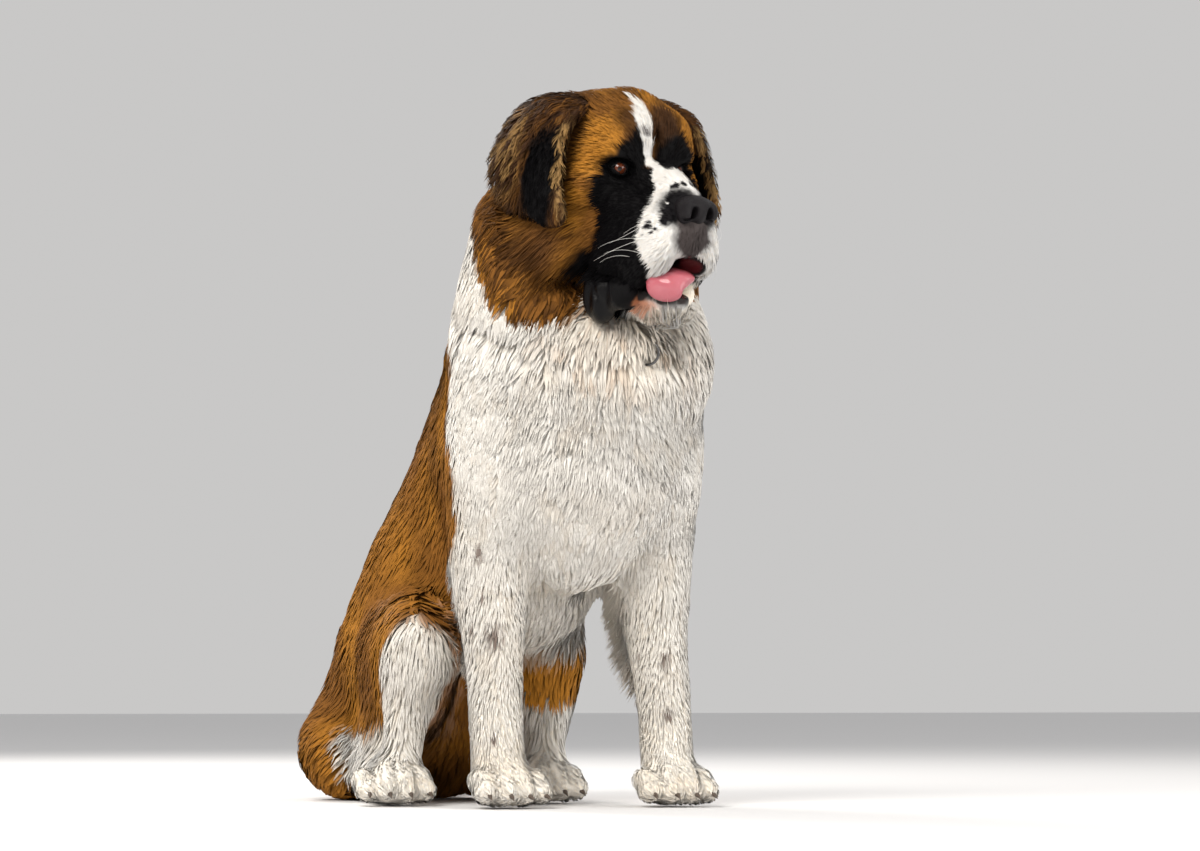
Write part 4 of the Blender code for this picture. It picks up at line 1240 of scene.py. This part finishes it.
def grown_paths(at, up, grid, rings, wave, rng):
    """The middle line of each tuft, from its root to its tip, laid over the skin."""
    count = len(at)
    lie, length, depth = combed(at, up)
    swirl = 0.30 + 0.30 * smoothstep(length, 0.035, 0.055)
    stray = noise(at, 0.050, 21) * swirl + noise(at, 0.016, 22) * 0.16 + rng.normal(0, 0.08, count)
    side = np.cross(up, lie)
    lie = unit(lie + side * stray[:, None])
    length = length * rng.uniform(0.70, 1.15, count)
    share = 0.68 + 0.32 * np.sqrt(rng.random(count)) + 0.16 * noise(at, 0.028, 24)
    above_ring = ring_centre() + (0, 0, 0.02)
    by_ring = RING_PARTING * smoothstep(np.linalg.norm(at - above_ring, axis=-1), 0.030, 0.014)
    phase = 6 * noise(at, 0.020, 23) + rng.uniform(0, 1.5, count)
    pos = at.copy()
    path = [at - up * 0.0012]
    heading = lie
    for j in range(1, rings + 1):
        s = j / rings
        normal = grid.slope(pos)
        way, _, _ = combed(pos, normal)
        heading = unit(heading * 0.7 + way * 0.3)
        turn = np.sin(phase + 2 * math.pi * s * 1.1) * wave * 0.55
        side = np.cross(normal, heading)
        along = unit(heading - normal * (heading * normal).sum(-1, keepdims=True) + side * turn[:, None])
        pos = pos + along * (length / rings)[:, None]
        height = grid(pos)
        wanted = depth * share * np.sin(min(s * 1.25, 1.0) * math.pi / 2)
        wanted = wanted + fringe(pos) * share * s**2 - by_ring * s
        pull = np.where(height < wanted, 1.0, 0.55)
        pos = pos + normal * ((wanted - height) * pull)[:, None]
        path.append(pos)
    path = np.stack(path, 1)
    path[..., 2] = np.maximum(path[..., 2], 0.0015)
    return path, length


def gathered(at, path, amount, guides_each, rng):
    """Draws the tips of neighbouring tufts together into locks."""
    chosen = rng.choice(len(at), max(len(at) // guides_each, 1), replace=False)
    tree = kdtree.KDTree(len(chosen))
    for n, index in enumerate(chosen):
        tree.insert(at[index], n)
    tree.balance()
    nearest = np.array([tree.find(place)[1] for place in at])
    guide = path[chosen][nearest]
    s = np.linspace(0, 1, path.shape[1])[None, :, None]
    weight = amount * s**1.6 * rng.uniform(0.5, 1.3, (len(at), 1, 1))
    return path + (guide - path) * weight


# Painted shade at the tufts' roots, where the hair above would shade them. Dark tufts' roots are darkened;
# pale tufts' roots are a little darker and warm, partly the coat's own cream at its roots.
DARK_ROOT_SHADE = np.array((0.66, 0.66, 0.66))  # how bright a dark tuft's root is, compared with its tip
PALE_ROOT_SHADE = np.array((1.0, 0.950, 0.870))
BAKE_PATCH = 0.003  # each tuft's size on the bake map
STREAKS_EACH = 0.007  # the width on which the pattern of streaks repeats


def tuft_faces(rings):
    """One tuft's quads and triangles: rings of three corners, closed at the root and drawn to a tip."""
    quads = []
    for i, c in itertools.product(range(rings - 1), range(3)):
        d = (c + 1) % 3
        quads.append((i * 3 + c, i * 3 + 3 + c, i * 3 + 3 + d, i * 3 + d))
    last = (rings - 1) * 3
    return quads, [(last + c, last + 3, last + (c + 1) % 3) for c in range(3)] + [(0, 1, 2)]


def tuft_mesh(name, verts, quads, tris):
    """A mesh of many like tufts from their vertices in the dog's frame, and the vertices of its loops."""
    count, each = verts.shape[:2]
    base = (np.arange(count) * each)[:, None, None]
    loops = np.concatenate([(np.array(kind) + base).reshape(count, -1) for kind in (quads, tris)], 1).ravel()
    sizes = np.tile([4] * len(quads) + [3] * len(tris), count)
    mesh = bpy.data.meshes.new(name)
    mesh.vertices.add(count * each)
    mesh.vertices.foreach_set("co", (verts + SHIFT).astype(np.float32).ravel())
    mesh.loops.add(loops.size)
    mesh.loops.foreach_set("vertex_index", loops.astype(np.int32))
    mesh.polygons.add(len(sizes))
    starts = np.concatenate([[0], np.cumsum(sizes)[:-1]]).astype(np.int32)
    mesh.polygons.foreach_set("loop_start", starts)
    mesh.update(calc_edges=True)
    mesh.shade_smooth()
    return mesh, loops


def tuft_shades(shades, tips, level):
    """Each vertex's colour: painted shade at the root, darker on dark tufts and warmer on pale ones, and
    dark at some tips.
    """
    # painted shade at each root, fading out two thirds of the way to the tip
    root = mix(DARK_ROOT_SHADE, PALE_ROOT_SHADE, smoothstep(shades.mean(-1), 0.15, 0.7))
    fades = np.minimum(level * 1.5, 1)[None, :, None]
    shade = shades[:, None, :] * (root[:, None] + (1 - root)[:, None] * fades)
    tipped = tips[:, None] * smoothstep(level, 0.35, 0.95)[None]
    return mix(shade, UMBER * 0.6, tipped).reshape(-1, 3)


def tuft_object(name, path, up, width, rng, shades, tips, where, materials, pale):
    """One mesh of closed three-sided tufts that taper to a point."""
    count, rings = len(path), path.shape[1] - 1
    along = unit(np.gradient(path, axis=1))
    across = unit(np.cross(along, up[:, None, :]))
    outward = np.cross(across, along)
    s = np.arange(rings) / rings
    taper = (0.75 + 0.9 * s) * (1 - s) ** 0.75 + 0.10
    half = (width[:, None] * taper / 2)[..., None]
    ring, a, o = path[:, :rings], across[:, :rings], outward[:, :rings]
    corners = np.stack([ring - a * half, ring + o * half * 0.5, ring + a * half], 2)
    verts = np.concatenate([corners.reshape(count, rings * 3, 3), path[:, rings:]], 1)
    quads, tris = tuft_faces(rings)
    mesh, loops = tuft_mesh(name, verts, quads, tris)
    level = np.append(np.repeat(s, 3), 1.0)
    round_it = np.append(np.tile([0.0, 0.5, 1.0], rings), 0.5)
    bake = where[:, None] + BAKE_PATCH * np.stack([round_it - 0.5, level - 0.5], -1)
    strands = (width / STREAKS_EACH)[:, None] * round_it
    own = np.stack([strands, level + 0 * strands], -1) + rng.uniform(0, 50, (count, 1, 2))
    for layer_name, values in (("OFBake", bake), ("lock", own)):
        layer = mesh.uv_layers.new(name=layer_name)
        layer.data.foreach_set("uv", values.reshape(-1, 2)[loops].astype(np.float32).ravel())
    add_colours(mesh, tuft_shades(shades, tips, level))
    edges = np.stack([-a * 0.75 + o * 0.65, o, a * 0.75 + o * 0.65], 2).reshape(count, rings * 3, 3)
    own_normal = np.concatenate([edges, outward[:, rings:]], 1)
    normals = unit(0.88 * up[:, None] + 0.12 * unit(own_normal)).reshape(-1, 3)
    mesh.normals_split_custom_set_from_vertices(normals.astype(np.float32))
    for material in materials:
        mesh.materials.append(material)
    mesh.polygons.foreach_set("material_index", np.repeat(pale, len(quads) + len(tris)).astype(np.int32))
    return add(name, mesh)


def make_coat(skin_mesh, grid, materials):
    rng = np.random.default_rng(7)
    at, up, where, piece = roots_on(skin_mesh, rng)
    made = []
    for n, (name, (_, rings, wide, gather, wave, sharing)) in enumerate(COATS.items()):
        chosen = piece == n
        a, u, w = at[chosen], up[chosen], where[chosen]
        path, length = grown_paths(a, u, grid, rings, wave, rng)
        path = gathered(a, path, gather, sharing, rng)
        shades = colours(a)
        tips = dark_tips(a) * (rng.random(len(a)) < 0.6) * smoothstep(shades.mean(-1), 0.40, 0.25)
        vary = 0.11 - 0.07 * smoothstep(shades.mean(-1), 0.2, 0.6)
        shades = shades * (1 + vary * rng.normal(0, 1, len(a)).clip(-2, 2))[:, None]
        width = wide * rng.uniform(0.6, 1.3, len(a)) * np.clip(length / np.median(length), 0.6, 1.3)
        pale = (shades.mean(-1) > 0.4) & (length > 0.012)
        made.append(tuft_object(name, path, u, width, rng, shades, tips, w, materials, pale))
    return made


def dark_tips(p):
    """How dark the tips of the hair are: most on the ruff of the cheeks and round the ears' upper edges."""
    q = folded(to_head(p))
    away = np.linalg.norm(q, axis=-1)
    ruff = smoothstep(q[..., 1] - 0.5 * q[..., 2], 0.095, 0.145) * smoothstep(away, 0.28, 0.24)
    crown = blot(q, (100, 100, 80), (40, 60, 40), 0.4)
    top = 0.6 * smoothstep(q[..., 2], 0.015, 0.045) * smoothstep(away, 0.22, 0.18)
    return 0.9 * np.maximum.reduce([ruff, crown, top])


# Nose, tongue and eyes


def nose_field(q):
    h = folded(q)
    found = ellipsoid(h, (0, -0.104, -0.039), (0.0275, 0.0235, 0.0165))
    wing = ellipsoid(h, (0.0185, -0.110, -0.045), (0.0120, 0.0160, 0.0165), (0, 0, 20))
    found = smooth_min(found, wing, 0.004)
    return smooth_min(found, ellipsoid(h, (0, -0.112, -0.049), (0.0110, 0.0130, 0.0125)), 0.008)


def carved_nose(q):
    h = folded(q)
    found = nose_field(q)
    nostril = ellipsoid(h, (0.0128, -0.126, -0.0455), (0.0058, 0.0170, 0.0092), (0, -8, 0))
    side_slit = ellipsoid(h, (0.0215, -0.1215, -0.0545), (0.0085, 0.0060, 0.0016), (0, 12, 20))
    found = smooth_max(smooth_max(found, -nostril, 0.0018), -side_slit, 0.0018)
    groove = chain(h, (0, -0.1295, -0.044, 0.0003), (0, -0.1265, -0.068, 0.0008))
    return smooth_max(found, -groove, 0.0022)


def meshed(name, field, low, high, step, material):
    """An object of a field in the head's frame."""
    counts = np.ceil((np.array(high) - low) / step).astype(int) + 1
    cells = Grid(low, step, np.zeros(counts))
    cells.values = field(cells.points().reshape(-1, 3)).reshape(counts)
    points, faces = cells.polygons()
    mesh = bpy.data.meshes.new(name)
    mesh.from_pydata(from_head(points), [], faces)
    return placed(name, mesh, material)


def make_nose():
    finish = Finish("nose leather", {"Specular IOR Level": 0.20})
    tone = finish.noise(260.0)
    finish.ramp(tone, (0.003, 0.0026, 0.003), (0.012, 0.009, 0.011))
    finish.rough(tone, 0.3, 0.7, 0.34, 0.48)
    finish.pebbled(850.0, 0.7, 0.0006)
    low, high = (-0.042, -0.140, -0.070), (0.042, -0.078, -0.014)
    return meshed("nose_leather", carved_nose, low, high, 0.0011, finish.material)


TONGUE = (
    ((0, 10, -140), (26, 30, 7)),
    ((-3, -40, -138), (28, 40, 8)),
    ((-4, -80, -135), (25, 36, 10)),
    ((-14, -82, -138), (31, 24, 9.5), (0, 0, -58)),
    ((-22, -90, -143.5), (28, 15, 11), (14, 0, -58)),
    ((-28.5, -97.5, -154), (25, 9, 15), (10, 0, -58)),
)
TONGUE_GROOVE = metres(((-3, -30, -123, 0.2), (-8, -70, -121, 0.2), (-22, -92, -125, 0.2)))


def tongue_field(q):
    found = lumps(q, TONGUE, 0.010)
    return smooth_max(found, -chain(q, *TONGUE_GROOVE), 0.010)


def make_tongue():
    finish = Finish("tongue", {
        "Roughness": 0.20, "Coat Weight": 0.6, "Coat Roughness": 0.12, "Subsurface Weight": 0.15,
        "Subsurface Scale": 0.004,
    })
    finish.ramp(finish.noise(90.0), (0.36, 0.055, 0.080), (0.58, 0.150, 0.185))
    finish.bump(finish.noise(420.0), 0.6, 0.0012)
    low, high = (-0.045, -0.140, -0.180), (0.045, 0.050, -0.110)
    return meshed("tongue_flesh", tongue_field, low, high, 0.0016, finish.material)


GAZE = {"left": (0.10, -0.99, -0.03), "right": (-0.46, -0.88, -0.03)}
EYE_WHITE, EYE_RIM, PUPIL = (0.09, 0.045, 0.038), (0.02, 0.008, 0.006), (0.002, 0.002, 0.002)
IRIS = (0.060, 0.014, 0.006), (0.150, 0.034, 0.011)
BULGE = 32  # degrees from the pupil's middle to the edge of the clear bulge


def make_eye(side, sign, material):
    """An eyeball with its iris and pupil, under a clear bulge."""
    shape = bmesh.new()
    bmesh.ops.create_uvsphere(shape, u_segments=56, v_segments=48, radius=EYE_RADIUS)
    rows = []
    for vert in shape.verts:
        angle = math.degrees(math.acos(max(-1, min(1, vert.co.z / EYE_RADIUS))))
        if angle < BULGE:
            vert.co *= 1 + 0.055 * math.cos(math.radians(angle) * 90 / BULGE) ** 1.5
        rows.append((angle, math.atan2(vert.co.y, vert.co.x)))
    angle, turned = np.array(rows).T
    streak = 0.5 + 0.5 * np.sin(turned * 23 + 1.3 * np.sin(turned * 7))
    colour = mix(np.array(EYE_WHITE), np.array(EYE_RIM), smoothstep(angle, 43, 39))
    colour = mix(colour, mix(*np.array(IRIS), streak), smoothstep(angle, 38, 34))
    colour = mix(colour, np.array(PUPIL), smoothstep(angle, 14.5, 12.5))
    turn = Vector((0, 0, 1)).rotation_difference(Vector(GAZE[side]).normalized()).to_matrix().to_4x4()
    bmesh.ops.transform(shape, matrix=turn, verts=shape.verts)
    mesh = bpy.data.meshes.new(f"eyeball_{side}")
    shape.to_mesh(mesh)
    shape.free()
    mesh.transform(HEAD_PLACE @ Matrix.Translation((EYE[0] * sign, EYE[1], EYE[2])))
    add_colours(mesh, colour)
    return placed(f"eyeball_{side}", mesh, material)


def eye_material():
    finish = Finish("eyeball", {
        "Roughness": 0.12, "Specular IOR Level": 0.10, "Coat Weight": 0.7, "Coat Roughness": 0.02,
    })
    finish.own_colour(finish.noise(1400.0), 0.75, 1.2)
    return finish.material


# Claws, collar, ring and whiskers


def swept(path, radii, sides=8):
    """A closed tapered tube along points in the dog's frame."""
    path = np.array(path)
    along = unit(np.gradient(path, axis=0))
    side = unit(np.cross(along, (0.3, 0.2, 0.93)))
    up = np.cross(side, along)
    verts, faces = [], []
    for n, (centre, radius) in enumerate(zip(path, radii)):
        for m in range(sides):
            a = 2 * math.pi * m / sides
            verts.append(centre + radius * (math.cos(a) * side[n] + math.sin(a) * up[n]))
            if n:
                k = (n - 1) * sides
                faces.append((k + m, k + sides + m, k + sides + (m + 1) % sides, k + (m + 1) % sides))
    faces.append(tuple(range(sides)))
    faces.append(tuple(reversed(range(len(verts) - sides, len(verts)))))
    return [tuple(v) for v in verts], faces


def tubes_object(name, tubes, material):
    """One mesh of several tubes, each a path and its radii."""
    verts, faces = [], []
    for path, radii in tubes:
        more, sides = swept(path, radii)
        faces += [tuple(i + len(verts) for i in face) for face in sides]
        verts += more
    mesh = bpy.data.meshes.new(name)
    mesh.from_pydata(verts, [], faces)
    shape = bmesh.new()
    shape.from_mesh(mesh)
    bmesh.ops.recalc_face_normals(shape, faces=shape.faces)
    shape.to_mesh(mesh)
    shape.free()
    return placed(name, mesh, material)


def claw_material():
    finish = Finish("claw horn", {"Roughness": 0.35})
    layers = finish.node("TexWave", {"Scale": 120.0, "Distortion": 4.0})
    finish.ramp(layers.outputs["Fac"], (0.030, 0.022, 0.018), (0.140, 0.105, 0.080))
    return finish.material


CLAW_RADIUS = 0.0042  # at its root


def make_claws():
    """A smooth curved claw in the place of each packed one."""
    material = claw_material()
    along = np.linspace(0, 1, 9)
    bend = np.stack([along, along, along**1.9], -1)
    radii = CLAW_RADIUS * (1 - 0.86 * along**1.6)
    for name in CLAWS:
        co = node_points(name)
        root = claw_root(name)
        path = root + (co[np.argmin(co[:, 1])] - root) * bend
        claw = tubes_object(name.replace("claw_", "horn_"), [(path, radii)], material)
        riding(claw, "claw_horn", name)


def arc(start, direction, bend, length, steps=10):
    """Points along a curve that starts in one direction and bends to another, in the head's frame."""
    at = np.array(start, float)
    way = unit(np.array(direction, float))
    to = unit(np.array(bend, float))
    points = [at]
    for n in range(steps):
        now = unit(way + (to - way) * ((n + 1) / steps))
        at = at + now * length / steps
        points.append(at)
    return points


def make_whiskers():
    """Long stiff hairs of the lips."""
    rng = np.random.default_rng(3)
    finish = Finish("whiskers", {"Roughness": 0.35})
    finish.ramp(finish.noise(40.0), (0.70, 0.68, 0.64), (0.95, 0.93, 0.90))
    tubes = []
    for sign, row, col in itertools.product((-1, 1), range(3), range(2)):
        middle_of = np.array((0, -0.088 + 0.018 * col + 0.004 * row, -0.066 - 0.021 * row - 0.006 * col))
        start = surface_point(np.array((0.9 * sign, 0, 0)), middle_of)
        length = rng.uniform(0.045, 0.085)
        way = (0.9 * sign, 0.35 + 0.20 * rng.normal(), 0.35 * rng.normal())
        bend = (0.25 * sign, 0.7, 0.8 * rng.normal() - 0.2)
        path = from_head(np.array(arc(start, way, bend, length)))
        tubes.append((path, np.linspace(0.00022, 0.00008, len(path))))
    return tubes_object("whiskers", tubes, finish.material)


def surface_point(direction, at):
    """Where a line in the head's frame, from a place on the midline outward, leaves the skin."""
    points = at + np.linspace(0.0, 0.12, 240)[:, None] * unit(direction)
    last = np.nonzero(head_field(from_head(points)) < 0)[0]
    return points[last[-1]] if len(last) else points[0]


def collar_point(angle, reach=0.0, rise=0.0):
    local = np.array((
        (COLLAR_RADII[0] + reach) * math.sin(angle), rise, -(COLLAR_RADII[1] + reach) * math.cos(angle),
    ))
    return COLLAR_AXES @ local + COLLAR_AT


def snug(grid, angles, rise):
    """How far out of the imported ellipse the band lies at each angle, so that it rests on the skin."""
    reach = np.linspace(-0.05, 0.09, 281)
    found = []
    for angle in angles:
        values = grid(np.array([collar_point(angle, out, rise) for out in reach]))
        found.append(reach[np.argmax(values > COLLAR_THICK / 2 + 0.0005)])
    found = np.clip(found, -COLLAR_GIVE, COLLAR_GIVE)
    return (np.roll(found, 2) + np.roll(found, 1) + found + np.roll(found, -1) + np.roll(found, -2)) / 5


def looped(name, rows, material):
    """A closed band, from the points round its section at each step of its way."""
    count, sides = rows.shape[:2]
    faces = []
    for n, m in itertools.product(range(count), range(sides)):
        k, j, after = n * sides, (n + 1) % count * sides, (m + 1) % sides
        faces.append((k + m, j + m, j + after, k + after))
    mesh = bpy.data.meshes.new(name)
    mesh.from_pydata(rows.reshape(-1, 3), [], faces)
    return placed(name, mesh, material)


def round_angles(count):
    return 2 * math.pi * np.arange(count) / count


def make_collar(grid):
    """A flat leather band with rolled edges, resting on the skin."""
    finish = Finish("collar leather", {"Roughness": 0.5})
    finish.ramp(finish.noise(30.0), (0.030, 0.016, 0.009), (0.085, 0.045, 0.024))
    finish.pebbled(420.0, 0.4, 0.0004)
    tall, thick = COLLAR_TALL / 2 - 0.0006, COLLAR_THICK / 2 - 0.0003
    c, s = np.cos(-round_angles(COLLAR_SIDES)), np.sin(-round_angles(COLLAR_SIDES))
    outs, rises = thick * np.sign(c) * np.abs(c) ** 0.9, tall * np.sign(s) * np.abs(s) ** 0.35
    angles = round_angles(COLLAR_STEPS)
    levels = (-tall, 0, tall)
    rests = np.transpose([snug(grid, angles, level) for level in levels])
    rows = [
        [collar_point(angle, out + np.interp(rise, levels, rest), rise) for out, rise in zip(outs, rises)]
        for angle, rest in zip(angles, rests)
    ]
    return looped("collar_band", np.array(rows), finish.material)


RING_ANGLE = math.radians(7)
RING_TURN = math.radians(40)
RING_RADIUS = 0.0165
RING_WIRE = 0.0019
RING_STEPS, RING_SIDES = 72, 14  # round the ring, and round its wire
RING_PARTING = 0.013  # how much lower the hair lies round the ring


def ring_centre():
    return collar_point(RING_ANGLE, 0.0040)


def make_ring():
    finish = Finish("ring steel", {"Metallic": 1.0})
    scratches = finish.noise(600.0)
    finish.ramp(scratches, (0.07, 0.068, 0.068), (0.20, 0.195, 0.19))
    finish.rough(scratches, 0.3, 0.7, 0.20, 0.36)
    a, b = round_angles(RING_STEPS)[:, None], round_angles(RING_SIDES)[None]
    reach = RING_RADIUS + RING_WIRE * np.cos(b)
    rows = np.stack([RING_WIRE * np.sin(b) + 0 * a, reach * np.sin(a), reach * np.cos(a)], -1)
    turn = np.array(Matrix.Rotation(RING_TURN, 3, "Z"))
    return looped("steel_ring", rows @ turn.T + ring_centre(), finish.material)


# Camera, floor and light

PIXEL = 0.0014  # metres of the dog's distance that one of the photograph's 1200 pixels covers
WIDE, HIGH = 1200, 851
AIM_PIXEL = (582.5, 805)  # where the point of the floor below the chest shows
CAMERA_AZIMUTH = math.radians(-20)
CAMERA_AWAY = 5.0
CAMERA_HEIGHT = 0.15


def make_camera():
    right = Vector((math.cos(CAMERA_AZIMUTH), math.sin(CAMERA_AZIMUTH), 0))
    ahead = Vector((-math.sin(CAMERA_AZIMUTH), math.cos(CAMERA_AZIMUTH), 0))
    target = Vector((0, -0.14, 0)) + right * (WIDE / 2 - AIM_PIXEL[0]) * PIXEL
    target.z = (AIM_PIXEL[1] - HIGH / 2) * PIXEL
    at = target - ahead * CAMERA_AWAY
    at.z = CAMERA_HEIGHT
    camera = bpy.data.cameras.new("camera")
    camera.lens = camera.sensor_width * (target - at).length / (WIDE * PIXEL)
    obj = add("camera", camera)
    obj.location = at + Vector(SHIFT)
    obj.rotation_euler = (target - at).to_track_quat("-Z", "Y").to_euler()
    bpy.context.scene.camera = obj


def make_floor():
    mesh = bpy.data.meshes.new("floor")
    mesh.from_pydata([(-30, -30, 0), (30, -30, 0), (30, 30, 0), (-30, 30, 0)], [], [(0, 1, 2, 3)])
    mesh.materials.append(Finish("floor", {"Base Color": (0.72, 0.72, 0.73, 1), "Roughness": 0.9}).material)
    add("floor", mesh)


def area_light(name, at, size, power, colour):
    light = bpy.data.lights.new(name, "AREA")
    light.shape = "DISK"
    light.size = size
    light.energy = power
    light.color = colour
    obj = add(name, light)
    obj.location = at
    obj.rotation_euler = (Vector((0, 0, 0.5)) - Vector(at)).to_track_quat("-Z", "Y").to_euler()


def make_light():
    area_light("key", (-2.4, -2.6, 3.0), 2.2, 180, (1.0, 0.96, 0.90))
    area_light("fill", (3.0, -2.4, 1.4), 2.5, 75, (1.0, 0.98, 0.95))
    area_light("back", (-0.8, 3.0, 2.8), 1.6, 120, (1.0, 0.96, 0.90))
    world = bpy.data.worlds.new("studio")
    world.use_nodes = True
    background = world.node_tree.nodes["Background"]
    background.inputs["Color"].default_value = (0.94, 0.93, 0.92, 1)
    background.inputs["Strength"].default_value = 0.62
    bpy.context.scene.world = world
    bpy.context.scene.view_settings.view_transform = "Standard"


def riding(obj, slot, *nodes):
    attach(obj, "root")
    if nodes:
        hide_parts(*nodes)


def main():
    body = body_grid()
    grid, grooved = skin_grid(body)
    skin = make_skin(body, grooved)
    hair = coat_material("coat", {}, 0.84, 1.12, 0.5), coat_material("pale coat", SOFT, 0.93, 1.06, 0.3)
    pieces = make_coat(skin.data, grid, hair)
    skin.data.transform(Matrix.Translation(SHIFT))
    skin.data.materials.append(skin_material())
    riding(skin, "coat_white", *FLESH)
    for piece in pieces:
        riding(piece, SLOTS.get(piece.name, "coat_white"))
    riding(make_nose(), "nose_leather", "nose")
    riding(make_tongue(), "tongue", "tongue")
    eyes = eye_material()
    for side, sign in (("left", 1), ("right", -1)):
        riding(make_eye(side, sign, eyes), "eye", f"eye_{side}")
    make_claws()
    riding(make_collar(grid), "collar_leather", "collar")
    riding(make_ring(), "ring_steel", "collar_ring")
    riding(make_whiskers(), "coat_white")
    make_camera()
    make_floor()
    make_light()


main()
